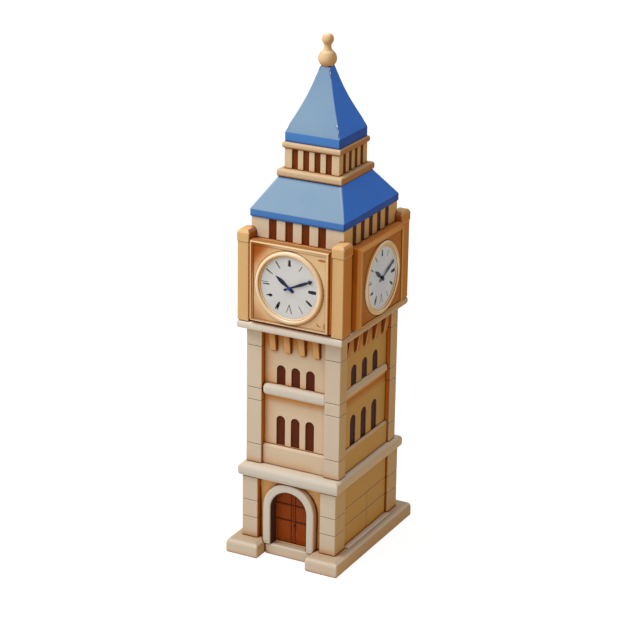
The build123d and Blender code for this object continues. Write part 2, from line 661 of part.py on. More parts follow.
def corbels():
    """Rows of corbels that carry the cornice over the shaft's recessed walls."""
    pieces = []
    for face, wall, _, _ in shaft_face_rows():
        front = face in ("front", "back")
        count = CORBEL_FRONT_COUNT if front else CORBEL_SIDE_COUNT
        pitch = CORBEL_FRONT_PITCH if front else CORBEL_SIDE_PITCH
        pieces += [corbel(face, wall, centre) for centre in row(count, pitch)]
    return pieces


# ---------------------------------------------------------------- clock stage
def clock_cornice():
    """Rounded cornice under the clock stage, in four lengths."""
    radius = CORNICE_HEIGHT * 0.34
    return [moulded_ring(CORNICE_HALF_X, CORNICE_HALF_Y, SHAFT_IN_X, SHAFT_IN_Y, CORNICE_Z, CLOCK_Z, radius)]


def pier_cap_zone():
    """Space that one pier and its cap take up, at the right-hand back corner."""
    return block(CLOCK_HALF_X - CLOCK_PIER_X - CAP_OUT, CLOCK_HALF_X + CAP_OUT,
                 CLOCK_HALF_Y - CLOCK_PIER_Y - CAP_OUT, CLOCK_HALF_Y + CAP_OUT,
                 CLOCK_Z, CLOCK_Z + CLOCK_PIER_HEIGHT + CAP_HEIGHT)


def clock_piers():
    """Corner piers of the clock stage, each with a domed cap."""
    x_low, y_low = CLOCK_HALF_X - CLOCK_PIER_X, CLOCK_HALF_Y - CLOCK_PIER_Y
    top = CLOCK_Z + CLOCK_PIER_HEIGHT
    pier = block(x_low, CLOCK_HALF_X, y_low, CLOCK_HALF_Y, CLOCK_Z, top)
    pier = chamfer(pier.edges().filter_by(Axis.Z), SOFT_ARRIS)
    cap_half_x, cap_half_y = CLOCK_PIER_X / 2 + CAP_OUT, CLOCK_PIER_Y / 2 + CAP_OUT
    cap = rounded_slab(cap_half_x, cap_half_y, top - CAP_ROUND, top + CAP_HEIGHT, CAP_ROUND)
    cap &= centred(cap_half_x, cap_half_y, top, top + CAP_HEIGHT)
    return four_corners(pier + Pos(CLOCK_HALF_X - CLOCK_PIER_X / 2, CLOCK_HALF_Y - CLOCK_PIER_Y / 2, 0) * cap)


def clock_face_rows():
    """Each face of the clock stage with its wall offset and half width between piers."""
    across_x = CLOCK_HALF_X - CLOCK_PIER_X
    across_y = CLOCK_HALF_Y - CLOCK_PIER_Y
    return (
        ("front", CLOCK_FACE_Y, across_x, across_x - FRAME_MARGIN_FRONT),
        ("back", CLOCK_FACE_Y, across_x, across_x - FRAME_MARGIN_FRONT),
        ("left", CLOCK_FACE_X, across_y, across_y - FRAME_MARGIN_SIDE),
        ("right", CLOCK_FACE_X, across_y, across_y - FRAME_MARGIN_SIDE),
    )


def clock_wall(face, offset, half):
    """Wall of the clock stage behind a dial."""
    sheet = Pos(0, (CLOCK_Z + ATTIC_DECK_Z) / 2) * Rectangle(2 * half, CLOCK_HEIGHT)
    wall = extrude(face_plane(face, offset) * sheet, -WALL)
    if face in ("left", "right"):
        wall = clear_of_front_walls(wall, CLOCK_HALF_X - CLOCK_PIER_X, CLOCK_FACE_Y, CLOCK_Z, ATTIC_DECK_Z)
    return [wall]


def clock_frame(face, offset, half):
    """Square frame round a dial: a thick plate with a raised border and a round seat."""
    foot = CLOCK_Z + FRAME_SILL
    plate = Pos(0, foot + FRAME_HEIGHT / 2) * Rectangle(2 * half, FRAME_HEIGHT)
    sunk_low, sunk_high = foot + FRAME_BORDER_FOOT, foot + FRAME_HEIGHT - FRAME_BORDER_HEAD
    inner = Pos(0, (sunk_low + sunk_high) / 2) * Rectangle(2 * (half - FRAME_BORDER_SIDE), sunk_high - sunk_low)
    depth = FRAME_DEPTH[face]
    frame = extrude(face_plane(face, offset) * plate, depth + FRAME_BORDER_PROUD)
    frame -= extrude(face_plane(face, offset + depth) * inner, FRAME_BORDER_PROUD + CUT_OVER)
    seat = Pos(0, DIAL_Z) * Circle(DIAL_RADIUS + FIT)
    frame -= extrude(face_plane(face, offset + depth - DIAL_THICKNESS) * seat, DIAL_THICKNESS + CUT_OVER)
    return frame


def arbor_levels():
    """Offsets from the dial's face of the two hands and of the cap that keeps them on."""
    hour = HAND_GAP
    minute = hour + HAND_THICKNESS + HAND_GAP
    cap = minute + HAND_THICKNESS + HAND_GAP
    return hour, minute, cap


def clock_dial(face, offset):
    """Dial plate with the arbor and end cap that carry its hands."""
    seat = face_plane(face, offset + FRAME_DEPTH[face] - DIAL_THICKNESS)
    dial_face = face_plane(face, offset + FRAME_DEPTH[face])
    dial = extrude(seat * (Pos(0, DIAL_Z) * Circle(DIAL_RADIUS)), DIAL_THICKNESS)
    cap_level = arbor_levels()[2]
    dial += extrude(dial_face * (Pos(0, DIAL_Z) * Circle(ARBOR_RADIUS)), cap_level + HAND_THICKNESS)
    cap_plane = face_plane(face, offset + FRAME_DEPTH[face] + cap_level)
    dial += extrude(cap_plane * (Pos(0, DIAL_Z) * Circle(ARBOR_CAP)), HAND_THICKNESS)
    return dial


def clock_bezel(face, offset):
    """Bezel ring round a dial, eased at both rims and made in equal sectors."""
    plane = face_plane(face, offset + FRAME_DEPTH[face])
    ring = extrude(plane * (Pos(0, DIAL_Z) * (Circle(BEZEL_OUTER) - Circle(BEZEL_INNER))), BEZEL_PROUD)
    outward = plane.z_dir
    outer_face = ring.faces().sort_by(lambda side: side.center().dot(outward))[-1]
    ring = chamfer(outer_face.edges(), BEZEL_EASE)
    centre = plane.origin + Vector(0, 0, DIAL_Z)
    sector_plane = Plane(origin=centre, x_dir=plane.x_dir, z_dir=plane.z_dir)
    for index in range(BEZEL_PARTS // 2):
        blade = Rot(0, 0, 360.0 * index / BEZEL_PARTS) * Box(3 * BEZEL_OUTER, BED_JOINT, 4 * BEZEL_PROUD)
        ring -= sector_plane * blade
    return ring


def hand_outline(length, hub, width, tail):
    """Tapering hand with a round hub and a short tail, pointing to twelve."""
    blade = make_face(Polyline((-width / 2, 0), (-width / 2, length * 0.45), (-HAND_TIP / 2, length),
                               (HAND_TIP / 2, length), (width / 2, length * 0.45), (width / 2, 0), close=True))
    back = make_face(Polyline((-width * 0.32, -tail), (width * 0.32, -tail), (width / 2, 0), (-width / 2, 0), close=True))
    return blade + back + Circle(hub) - Circle(ARBOR_RADIUS + FIT)


def clock_hand(face, offset, level, angle, outline):
    """One hand on a dial, turned clockwise from twelve."""
    plane = face_plane(face, offset + FRAME_DEPTH[face] + level)
    turned = Pos(0, DIAL_Z) * Rot(0, 0, -angle) * outline
    return extrude(plane * turned, HAND_THICKNESS)


# ---------------------------------------------------------------- belfry stage
def attic_floor():
    """Deck over the clock room, shaped round the four piers."""
    deck = centred(CLOCK_FACE_X, CLOCK_FACE_Y, ATTIC_DECK_Z, ATTIC_Z)
    for zone in four_corners(pier_cap_zone()):
        deck -= zone
    return [deck]


def colonnade(half_x, half_y, depth, x_row, y_row, z_low, z_high):
    """Posts and corner blocks left between a row of openings on each face."""
    posts = []
    (x_count, x_pitch, x_opening), (y_count, y_pitch, y_opening) = x_row, y_row
    x_corner = row(x_count, x_pitch)[-1] + x_opening / 2
    y_corner = row(y_count, y_pitch)[-1] + y_opening / 2
    posts += four_corners(block(x_corner, half_x, y_corner, half_y, z_low, z_high))
    x_post = (x_pitch - x_opening) / 2
    y_post = (y_pitch - y_opening) / 2
    front = [block(x - x_post, x + x_post, -half_y, -half_y + depth, z_low, z_high) for x in row(x_count - 1, x_pitch)]
    right = [block(half_x - depth, half_x, y - y_post, y + y_post, z_low, z_high) for y in row(y_count - 1, y_pitch)]
    return posts + front_and_back(front) + left_and_right(right)


def louvre_panels(half_x, half_y, back, x_row, y_row, z_low, z_high):
    """Dark boarded panels closing the openings behind the posts."""
    panels = []
    (x_count, x_pitch, x_opening), (y_count, y_pitch, y_opening) = x_row, y_row
    x_reach = row(x_count, x_pitch)[-1] + x_opening / 2
    y_reach = row(y_count, y_pitch)[-1] + y_opening / 2
    y_far, x_far = half_y - back, half_x - back
    for x in row(x_count, x_pitch):
        half = x_opening / 2 - FIT
        panels += front_and_back([block(x - half, x + half, -y_far, -y_far + LOUVRE_THICKNESS, z_low, z_high)])
    for y in row(y_count, y_pitch):
        half = y_opening / 2 - FIT
        panels += left_and_right([block(x_far - LOUVRE_THICKNESS, x_far, y - half, y + half, z_low, z_high)])
    return panels


ATTIC_ROWS = ((ATTIC_FRONT_COUNT, ATTIC_FRONT_PITCH, ATTIC_FRONT_OPENING),
              (ATTIC_SIDE_COUNT, ATTIC_SIDE_PITCH, ATTIC_SIDE_OPENING))
LANTERN_ROWS = ((LANTERN_COUNT, LANTERN_PITCH, LANTERN_OPENING),
                (LANTERN_COUNT, LANTERN_PITCH, LANTERN_OPENING))


def attic_posts():
    """Posts and corner blocks of the belfry stage, cut round the pier caps."""
    posts = colonnade(ATTIC_HALF_X, ATTIC_HALF_Y, ATTIC_DEPTH, *ATTIC_ROWS, ATTIC_Z, EAVES_Z)
    zones = four_corners(pier_cap_zone())
    trimmed = []
    for post in posts:
        for zone in zones:
            post = post - zone
        trimmed.append(post)
    return trimmed


def attic_louvres():
    """Boarded panels in the belfry openings."""
    return louvre_panels(ATTIC_HALF_X, ATTIC_HALF_Y, LOUVRE_BACK, *ATTIC_ROWS, ATTIC_Z, EAVES_Z)


# ---------------------------------------------------------------- roofs
def frustum(low_x, low_y, z_low, high_x, high_y, z_high):
    """Straight-sided hipped mass between two rectangles: where its two end-on outlines cross."""
    seen_along_y = make_face(Polyline((-low_x, z_low), (low_x, z_low), (high_x, z_high), (-high_x, z_high), close=True))
    seen_along_x = make_face(Polyline((-low_y, z_low), (low_y, z_low), (high_y, z_high), (-high_y, z_high), close=True))
    return extrude(Plane.XZ * seen_along_y, low_y, both=True) & extrude(Plane.YZ * seen_along_x, low_x, both=True)


def slice_at_hips(roof, corner, top_corner, z_low, z_high):
    """Divide a hipped shell into four slopes by fine joints along its hips."""
    run_x, run_y = corner[0] - top_corner[0], corner[1] - top_corner[1]
    turn = math.degrees(math.atan2(run_y, run_x))
    middle_x, middle_y = (corner[0] + top_corner[0]) / 2, (corner[1] + top_corner[1]) / 2
    length = 2 * math.hypot(run_x, run_y) + 4 * EAVES_WALL_PLATE
    height = z_high - z_low + 2 * CUT_OVER
    blade = Pos(middle_x, middle_y, (z_low + z_high) / 2) * Rot(0, 0, turn) * Box(length, BED_JOINT, height)
    for cutter in four_corners(blade):
        roof -= cutter
    return roof


def lower_roof():
    """Hipped shell over the belfry: upright fascia and four straight slopes."""
    fascia = centred(EAVES_HALF_X, EAVES_HALF_Y, EAVES_Z, SLOPE_Z)
    slopes = frustum(EAVES_HALF_X, EAVES_HALF_Y, SLOPE_Z, ROOF_TOP_HALF, ROOF_TOP_HALF, LANTERN_BASE_Z)
    plate, ring = EAVES_WALL_PLATE, ROOF_TOP_RING
    hollow = frustum(EAVES_HALF_X - plate, EAVES_HALF_Y - plate, EAVES_Z, ROOF_TOP_HALF - ring, ROOF_TOP_HALF - ring, LANTERN_BASE_Z)
    shell = fascia + slopes - hollow
    return [slice_at_hips(shell, (EAVES_HALF_X, EAVES_HALF_Y), (ROOF_TOP_HALF, ROOF_TOP_HALF), EAVES_Z, LANTERN_BASE_Z)]


def lantern_base():
    """Rounded slab that closes the lower roof and carries the lantern."""
    return [rounded_slab(LANTERN_BASE_HALF, LANTERN_BASE_HALF, LANTERN_BASE_Z, LANTERN_Z, LANTERN_BASE_ROUND)]


def lantern_posts():
    """Posts and corner blocks of the lantern."""
    return colonnade(LANTERN_HALF, LANTERN_HALF, LANTERN_DEPTH, *LANTERN_ROWS, LANTERN_Z, LANTERN_CORNICE_Z)


def lantern_louvres():
    """Boarded panels in the lantern openings."""
    return louvre_panels(LANTERN_HALF, LANTERN_HALF, LOUVRE_BACK, *LANTERN_ROWS, LANTERN_Z, LANTERN_CORNICE_Z)


def lantern_cornice():
    """Rounded slab over the lantern, which carries the spire."""
    return [rounded_slab(LANTERN_CORNICE_HALF, LANTERN_CORNICE_HALF, LANTERN_CORNICE_Z, SPIRE_EAVES_Z, LANTERN_CORNICE_ROUND)]


def spire_half(inset):
    """Swept outline of the spire seen from one side, drawn in by an inset."""
    base = SPIRE_EAVES_HALF
    rises = [(base, SPIRE_Z)] + [(base - step_in, SPIRE_Z + rise) for step_in, rise in SPIRE_WAIST]
    rises.append((SPIRE_TOP_HALF, FINIAL_Z))
    right = [(x - inset, z) for x, z in rises if x - inset > 0 or inset == 0]
    right_top = right[-1]
    curve = Spline(*right)
    mirrored = Spline(*[(-x, z) for x, z in right])
    sides = Line((base - inset, SPIRE_EAVES_Z), right[0]) + Line((-(base - inset), SPIRE_EAVES_Z), (-right[0][0], right[0][1]))
    caps = Line((-(base - inset), SPIRE_EAVES_Z), (base - inset, SPIRE_EAVES_Z)) + Line(right_top, (-right_top[0], right_top[1]))
    return make_face(Curve() + [curve, mirrored] + sides.edges() + caps.edges())


def spire_mass(inset):
    """Square mass whose four faces all follow the swept outline."""
    outline = spire_half(inset)
    reach = 2 * SPIRE_EAVES_HALF
    along_y = extrude(Plane.XZ * outline, reach / 2, both=True)
    along_x = extrude(Plane.YZ * outline, reach / 2, both=True)
    return along_y & along_x


def spire_roof():
    """Swept pyramidal spire: a shell in four slopes."""
    shell = spire_mass(0) - spire_mass(SPIRE_SHELL)
    base = SPIRE_EAVES_HALF
    return [slice_at_hips(shell, (base, base), (SPIRE_TOP_HALF, SPIRE_TOP_HALF), SPIRE_EAVES_Z, FINIAL_Z)]


def finial():
    """Turned finial: two balls with a waisted neck between them."""
    seat = SPIRE_TOP_HALF
    sink = math.sqrt(LOWER_BALL ** 2 - seat ** 2)
    lower_centre = sink
    upper_centre = UPPER_BALL_RISE
    neck = NECK_RISE
    lower_join = math.sqrt(LOWER_BALL ** 2 - (NECK_RADIUS * 1.35) ** 2)
    upper_join = math.sqrt(UPPER_BALL ** 2 - (NECK_RADIUS * 1.15) ** 2)
    foot, low_join = (seat, 0), (NECK_RADIUS * 1.35, lower_centre + lower_join)
    high_join, tip = (NECK_RADIUS * 1.15, upper_centre - upper_join), (0, upper_centre + UPPER_BALL)
    lower = ThreePointArc(foot, (LOWER_BALL, lower_centre), low_join)
    waist = ThreePointArc(low_join, (NECK_RADIUS, neck - 40), high_join)
    upper = ThreePointArc(high_join, (UPPER_BALL, upper_centre), tip)
    outline = make_face(Curve() + [Line((0, 0), foot), lower, waist, upper, Line(tip, (0, 0))])
    return [Pos(0, 0, FINIAL_Z) * revolve(Plane.XZ * outline, Axis.Z)]


# ---------------------------------------------------------------- assembly
def main():
    """Build every node and write it."""
    os.makedirs("parts", exist_ok=True)
    write("base_plinth", base_plinth())
    write("door_step", door_step())
    write("ground_floor", ground_floor())
    write("ground_piers", ground_piers())
    for name, solids in ground_walls().items():
        write(name, solids)
    write("door_surround", door_surround())
    write("door_leaf_right", [door_leaf(True)])
    write("door_leaf_left", [mirror(door_leaf(False), about=Plane.YZ)])
    write("door_pintles", door_pintles())
    write("string_course", string_course())
    write("first_floor", floor_slab(SHAFT_Z))
    write("second_floor", floor_slab(SHAFT_Z + SECOND_FLOOR_TOP))
    write("shaft_piers", shaft_piers())
    for face in ("front", "back", "left", "right"):
        write(f"shaft_wall_{face}", shaft_wall(face))
    write("window_shutters", window_shutters())
    write("window_aprons", window_aprons())
    write("sill_bands", sill_bands())
    write("corbels", corbels())
    write("clock_cornice", clock_cornice())
    write("clock_floor", floor_slab(CLOCK_Z))
    write("clock_piers", clock_piers())
    frames, bezels, dials = [], [], []
    hour_shape = hand_outline(HOUR_LENGTH, HOUR_HUB, HOUR_WIDTH, HOUR_TAIL)
    minute_shape = hand_outline(MINUTE_LENGTH, MINUTE_HUB, MINUTE_WIDTH, MINUTE_TAIL)
    hour_level, minute_level, _ = arbor_levels()
    for face, offset, half, frame_half in clock_face_rows():
        write(f"clock_wall_{face}", clock_wall(face, offset, half))
        frames.append(clock_frame(face, offset, frame_half))
        bezels.append(clock_bezel(face, offset))
        dials.append(clock_dial(face, offset))
        write(f"hour_hand_{face}", [clock_hand(face, offset, hour_level, HOUR_ANGLE, hour_shape)])
        write(f"minute_hand_{face}", [clock_hand(face, offset, minute_level, MINUTE_ANGLE, minute_shape)])
    write("clock_frames", frames)
    write("clock_bezels", bezels)
    write("clock_dials", dials)
    write("attic_floor", attic_floor())
    write("attic_posts", attic_posts())
    write("attic_louvres", attic_louvres())
    write("lower_roof", lower_roof())
    write("lantern_base", lantern_base())
    write("lantern_posts", lantern_posts())
    write("lantern_louvres", lantern_louvres())
    write("lantern_cornice", lantern_cornice())
    write("spire_roof", spire_roof())
    write("finial", finial())


main()
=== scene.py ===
"""Looks of a stone clock tower, dressed round its packed construction model.

Every length is in metres, in the frame of the construction model: +Z up, the door towards -Y. Shapes are surfaces
worked out with numpy, finishes are procedural, and each new piece stands for the construction node that it replaces.
"""
import logging
import math
from dataclasses import dataclass
from enum import Enum
from typing import Iterable, Sequence

import bpy
import numpy as np
from mathutils import Matrix, Vector


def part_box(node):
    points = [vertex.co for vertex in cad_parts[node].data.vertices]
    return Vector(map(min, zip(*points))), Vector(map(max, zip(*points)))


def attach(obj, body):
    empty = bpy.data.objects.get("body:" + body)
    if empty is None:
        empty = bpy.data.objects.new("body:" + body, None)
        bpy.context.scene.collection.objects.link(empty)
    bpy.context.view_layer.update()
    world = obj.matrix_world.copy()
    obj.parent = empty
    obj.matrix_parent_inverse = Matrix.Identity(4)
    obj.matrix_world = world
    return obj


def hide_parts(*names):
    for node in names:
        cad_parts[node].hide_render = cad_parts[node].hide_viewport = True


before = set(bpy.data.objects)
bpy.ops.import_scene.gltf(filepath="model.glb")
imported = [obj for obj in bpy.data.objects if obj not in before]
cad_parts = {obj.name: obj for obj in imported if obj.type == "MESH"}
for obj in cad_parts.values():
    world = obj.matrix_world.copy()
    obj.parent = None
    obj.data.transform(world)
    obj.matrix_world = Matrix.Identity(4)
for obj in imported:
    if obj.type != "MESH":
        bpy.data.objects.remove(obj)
LOG = logging.getLogger("clock_tower")
Array = np.ndarray
ROOT = "root"
TIGHTEST = 0.004    # smallest radius of an outline's corner
MERGE = 1e-5        # points nearer than this become one
SHARP = 50          # degrees between faces from which an edge is shaded sharp
JOINT = 0.001       # how far a stone stays back from the middle of its joint
ROUND_STEPS = 6     # divisions of a quarter round
CORNERS = ((-1, -1), (-1, 1), (1, -1), (1, 1))
GROUND_PIER = (0.74, 0.93)  # width and depth of a pier
SHAFT_PIER = (0.725, 0.62)
INSIDE = (1.49, 1.931)      # half the width and depth within the courses


# ------------------------------------------------------------------------------------------------ shapes
@dataclass
class Shell:
    """Points and faces of one surface, before it becomes a mesh.

    Args:
        points: n rows of x, y, z.
        faces: rings of point numbers, counter-clockwise seen from outside.
    """

    points: Array
    faces: list[tuple[int, ...]]

    def moved(self, first: float, second: float) -> "Shell":
        """The same surface carried along its first two axes."""
        return Shell(self.points + np.array([first, second, 0.0]), self.faces)

    def turned_in_face(self, degrees: float) -> "Shell":
        """The same surface turned clockwise about its local out-facing axis."""
        angle = -math.radians(degrees)
        turn = np.array([[math.cos(angle), -math.sin(angle), 0], [math.sin(angle), math.cos(angle), 0], [0, 0, 1]])
        return Shell(self.points @ turn.T, self.faces)


def joined(shells: Iterable[Shell]) -> Shell:
    """Several surfaces as one: points stacked, face numbers shifted by the points before them."""
    points, faces, start = [], [], 0
    for shell in shells:
        points.append(shell.points)
        faces += [tuple(index + start for index in face) for face in shell.faces]
        start += len(shell.points)
    return Shell(np.vstack(points), faces)


def grid_shell(points: Array, wrap_rows: bool = False, wrap_columns: bool = False) -> Shell:
    """Surface over a grid of points: cell (i, j) joins rows i, i+1 and columns j, j+1.

    Args:
        points: rows x columns x 3.
        wrap_rows: the last row joins the first.
        wrap_columns: the last column joins the first.
    """
    rows, columns = points.shape[:2]
    i = np.arange(rows if wrap_rows else rows - 1)
    j = np.arange(columns if wrap_columns else columns - 1)
    row, column = (part.ravel() for part in np.meshgrid(i, j, indexing="ij"))
    next_row, next_column = (row + 1) % rows, (column + 1) % columns
    quads = np.stack([row * columns + column, row * columns + next_column,
                      next_row * columns + next_column, next_row * columns + column], axis=1)
    return Shell(points.reshape(-1, 3), [tuple(quad) for quad in quads.tolist()])


def rounded_block(low: Sequence[float], high: Sequence[float], radius: float, steps: int = 3) -> Shell:
    """Box with rounded edges: each point is a corner of a smaller box plus a step of one radius outwards.

    On the face along one axis the step leans by the tangents of angles from -45 to 45 degrees on the other two axes,
    so the six faces meet along the edges.

    Args:
        low: lowest corner.
        high: highest corner.
        radius: radius of every edge.
        steps: divisions of an eighth of a turn.
    """
    low_corner, high_corner = np.minimum(low, high), np.maximum(low, high)
    half, centre = (high_corner - low_corner) / 2, (high_corner + low_corner) / 2
    rounding = min(radius, 0.98 * float(half.min()))
    inner = half - rounding
    lean = np.tan(np.linspace(0, math.pi / 4, steps + 1))
    tangents = np.concatenate([-lean[::-1], lean])
    sides = np.repeat([-1.0, 1.0], steps + 1)
    count = len(tangents)
    shells = []
    for axis in range(3):
        first, second = (axis + 1) % 3, (axis + 2) % 3
        for sign in (-1.0, 1.0):
            step, core = np.zeros((count, count, 3)), np.zeros((count, count, 3))
            step[..., axis], core[..., axis] = sign, sign * inner[axis]
            step[..., first], core[..., first] = tangents[:, None], sides[:, None] * inner[first]
            step[..., second], core[..., second] = tangents[None, :], sides[None, :] * inner[second]
            step /= np.linalg.norm(step, axis=2, keepdims=True)
            points = centre + core + rounding * step
            shells.append(grid_shell(points if sign < 0 else points.transpose(1, 0, 2)))
    return joined(shells)


def rounded_outline(corners: Sequence[tuple[float, float]], radius: float, steps: int = 5,
                    grow: float = 0.0) -> Array:
    """Closed outline grown outwards by a step, with every corner an arc.

    A corner moves along its mitre. Its arc's centre lies one radius behind both sides, and each point is the centre
    plus one radius along a normal that swings from one side's to the next side's. Growing widens an outer corner's
    radius and tightens an inner corner's.

    Args:
        corners: the sharp outline, counter-clockwise.
        radius: radius of every corner before growing.
        steps: divisions of each arc.
        grow: how far the outline moves outwards; negative moves it in.

    Returns:
        Points in order, the same number for every growth.
    """
    sharp = np.array(corners, float)
    points = []
    for index, corner in enumerate(sharp):
        incoming = corner - sharp[index - 1]
        outgoing = sharp[(index + 1) % len(sharp)] - corner
        start, finish = (math.atan2(-side[0], side[1]) for side in (incoming, outgoing))
        turn = (finish - start + math.pi) % (2 * math.pi) - math.pi
        way = 1.0 if turn > 0 else -1.0
        bend = way * max(radius + way * grow, TIGHTEST)
        angles = start + turn * np.linspace(0, 1, steps + 1)
        normal = np.stack([np.cos(angles), np.sin(angles)], axis=1)
        mitre = (normal[0] + normal[-1]) / (1.0 + float(normal[0] @ normal[-1]))
        points.append(corner + (grow - bend) * mitre + bend * normal)
    return np.vstack(points)


def rectangle(half_x: float, half_y: float) -> list[tuple[float, float]]:
    """Corners of a rectangle centred on the axis, counter-clockwise."""
    return [(-half_x, -half_y), (half_x, -half_y), (half_x, half_y), (-half_x, half_y)]


def levelled(outline: Array, height: float) -> Array:
    """Points of two coordinates with one more, the same for all."""
    return np.column_stack([outline, np.full(len(outline), height)])


def rolled(corners: Sequence[tuple[float, float]], radius: float, profile: Sequence[tuple[float, float]]) -> Shell:
    """Profile carried round an outline: each course is the outline grown by the profile's offset, at its height.

    Args:
        corners: the sharp outline.
        radius: radius of its corners.
        profile: offset outwards and height of each course of points, from the foot up.
    """
    return capped(np.array([levelled(rounded_outline(corners, radius, grow=out), height) for out, height in profile]))


def capped(rows: Array) -> Shell:
    """Courses of points joined in turn into a tube, closed at both ends by flat faces."""
    shell = grid_shell(rows, wrap_columns=True)
    count = rows.shape[1]
    shell.faces.append(tuple(range(count))[::-1])
    shell.faces.append(tuple(range(count * (len(rows) - 1), count * len(rows))))
    return shell


def inside_out(shell: Shell) -> Shell:
    """The same surface with every face turned over."""
    return Shell(shell.points, [ring[::-1] for ring in shell.faces])


def lofted(levels: Sequence[tuple[float, float, float, float]]) -> Shell:
    """Rounded rectangles joined in turn: each level is half x, half y, corner radius and height."""
    return capped(np.array([levelled(rounded_outline(rectangle(half_x, half_y), radius), height)
                            for half_x, half_y, radius, height in levels]))


def bullnose(low: float, high: float, radius: float, foot: float | None = None) -> list[tuple[float, float]]:
    """Upright edge with a quarter round at its foot and head, as offsets (0 at the face) and heights.

    Args:
        low: height of the foot.
        high: height of the head.
        radius: radius of the head's round.
        foot: radius of the foot's, if it differs.

    Returns:
        The profile from the foot up.
    """
    angles = np.linspace(0, math.pi / 2, ROUND_STEPS + 1)
    under = radius if foot is None else foot
    lower = [(-under + under * math.sin(a), low + under - under * math.cos(a)) for a in angles]
    upper = [(-radius + radius * math.cos(a), high - radius + radius * math.sin(a)) for a in angles]
    return lower + upper


def revolved(profile: Sequence[tuple[float, float]], turns: int, ring: bool = False) -> Shell:
    """Profile of radius and height turned about the vertical: x = r cos t, y = r sin t.

    Args:
        profile: radius and height of each point, from the foot up on the outside.
        turns: divisions of the circle.
        ring: the profile closes on itself and never meets the axis.
    """
    angles = np.linspace(0, 2 * math.pi, turns, endpoint=False)
    radii, heights = np.array(profile, float).T
    points = np.stack([radii[:, None] * np.cos(angles), radii[:, None] * np.sin(angles),
                       np.repeat(heights[:, None], turns, axis=1)], axis=2)
    return grid_shell(points, wrap_rows=True, wrap_columns=True) if ring else capped(points)


def extruded(section: Sequence[tuple[float, float]], left: float, right: float) -> Shell:
    """Section of (up, out) carried across from left to right in face coordinates, with flat ends."""
    rows = [[(across, up, out) for up, out in section] for across in (left, right)]
    return capped(np.array(rows, float))


def ribbon(path: Array, widths: Sequence[float], low: float, high: float) -> Shell:
    """Flat brush stroke along a path of (across, up) points, from one level to another.

    Each point moves half its width to either side along the path's normal there.

    Args:
        path: the points.
        widths: the width at each of them.
        low: level of the underside.
        high: level of the top.

    Returns:
        The stroke as a closed slab.
    """
    spine = np.asarray(path, float)
    way = np.gradient(spine, axis=0)
    normal = np.column_stack([-way[:, 1], way[:, 0]]) / np.linalg.norm(way, axis=1)[:, None]
    half = np.asarray(widths, float)[:, None] / 2 * normal
    outline = np.vstack([spine - half, (spine + half)[::-1]])
    return capped(np.array([levelled(outline, level) for level in (low, high)]))


class Face(Enum):
    """The four faces of the tower, each with the way it looks out in plan."""

    FRONT = (0, -1)
    RIGHT = (1, 0)
    BACK = (0, 1)
    LEFT = (-1, 0)

    @property
    def endwise(self) -> bool:
        """True for the narrow faces, front and back."""
        return self in (Face.FRONT, Face.BACK)

    @property
    def word(self) -> str:
        """The face's name as the construction nodes spell it."""
        return self.name.lower()

    def place(self, shell: Shell) -> Shell:
        """Face coordinates (across to the right, up, out) turned to stand on this face of the tower."""
        out_x, out_y = self.value
        across, up, out = shell.points.T
        points = np.column_stack([-out_y * across + out_x * out, out_x * across + out_y * out, up])
        return Shell(points, shell.faces)

    def wall(self, stage: str) -> float:
        """Distance from the tower's axis out to a stage's wall on this face."""
        low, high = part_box(f"{stage}_wall_{self.word}")
        axis = 1 if self.endwise else 0
        return abs(float(high[axis] if self.value[axis] > 0 else low[axis]))


@dataclass(frozen=True)
class Box:
    """Lowest and highest corners of a construction node."""

    low: Array
    high: Array

    @classmethod
    def of(cls, node: str) -> "Box":
        """The box of one node at rest."""
        low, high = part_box(node)
        return cls(np.array(low, float), np.array(high, float))

    @property
    def half_x(self) -> float:
        """Half the width."""
        return float(self.high[0])

    @property
    def half_y(self) -> float:
        """Half the depth."""
        return float(self.high[1])

    def half(self, face: Face) -> float:
        """Distance from the axis out to a face."""
        return self.half_y if face.endwise else self.half_x

    @property
    def foot(self) -> float:
        """Lowest level."""
        return float(self.low[2])

    @property
    def head(self) -> float:
        """Highest level."""
        return float(self.high[2])


# ------------------------------------------------------------------------------------------------ shader maths
class Value:
    """A shader socket that can be written in Python sums: + - and * add Math nodes."""

    def __init__(self, graph: "Graph", socket: bpy.types.NodeSocket) -> None:
        """Keep the socket with the graph it belongs to."""
        self.graph, self.socket = graph, socket

    def _math(self, operation: str, *operands: "Value | float") -> "Value":
        """One Math node over the operands."""
        return self.graph.node("ShaderNodeMath", {"operation": operation}, dict(enumerate(operands)))

    def __add__(self, other: "Value | float") -> "Value":
        """Sum."""
        return self._math("ADD", self, other)

    __radd__ = __add__

    def __mul__(self, other: "Value | float") -> "Value":
        """Product."""
        return self._math("MULTIPLY", self, other)

    __rmul__ = __mul__

    def __sub__(self, other: "Value | float") -> "Value":
        """Difference."""
        return self._math("SUBTRACT", self, other)

    def __rsub__(self, other: float) -> "Value":
        """Difference from a number."""
        return self._math("SUBTRACT", other, self)

    def absolute(self) -> "Value":
        """Size without sign."""
        return self._math("ABSOLUTE", self)

    def larger(self, other: "Value | float") -> "Value":
        """The larger of the two."""
        return self._math("MAXIMUM", self, other)

    def ramp(self, low: float, high: float) -> "Value":
        """0 below low, 1 above high, smooth between; low may be the larger."""
        ends = {1: low, 2: high, 3: 0.0, 4: 1.0} if low < high else {1: high, 2: low, 3: 1.0, 4: 0.0}
        return self.graph.node("ShaderNodeMapRange", {"interpolation_type": "SMOOTHSTEP"}, {0: self, **ends})


Colour = tuple[float, float, float]


def rgb(red: int, green: int, blue: int) -> Colour:
    """Screen colour of 0 to 255 as the linear colour that shaders use."""
    parts = (value / 255 for value in (red, green, blue))
    return tuple(part / 12.92 if part <= 0.04045 else ((part + 0.055) / 1.055) ** 2.4 for part in parts)


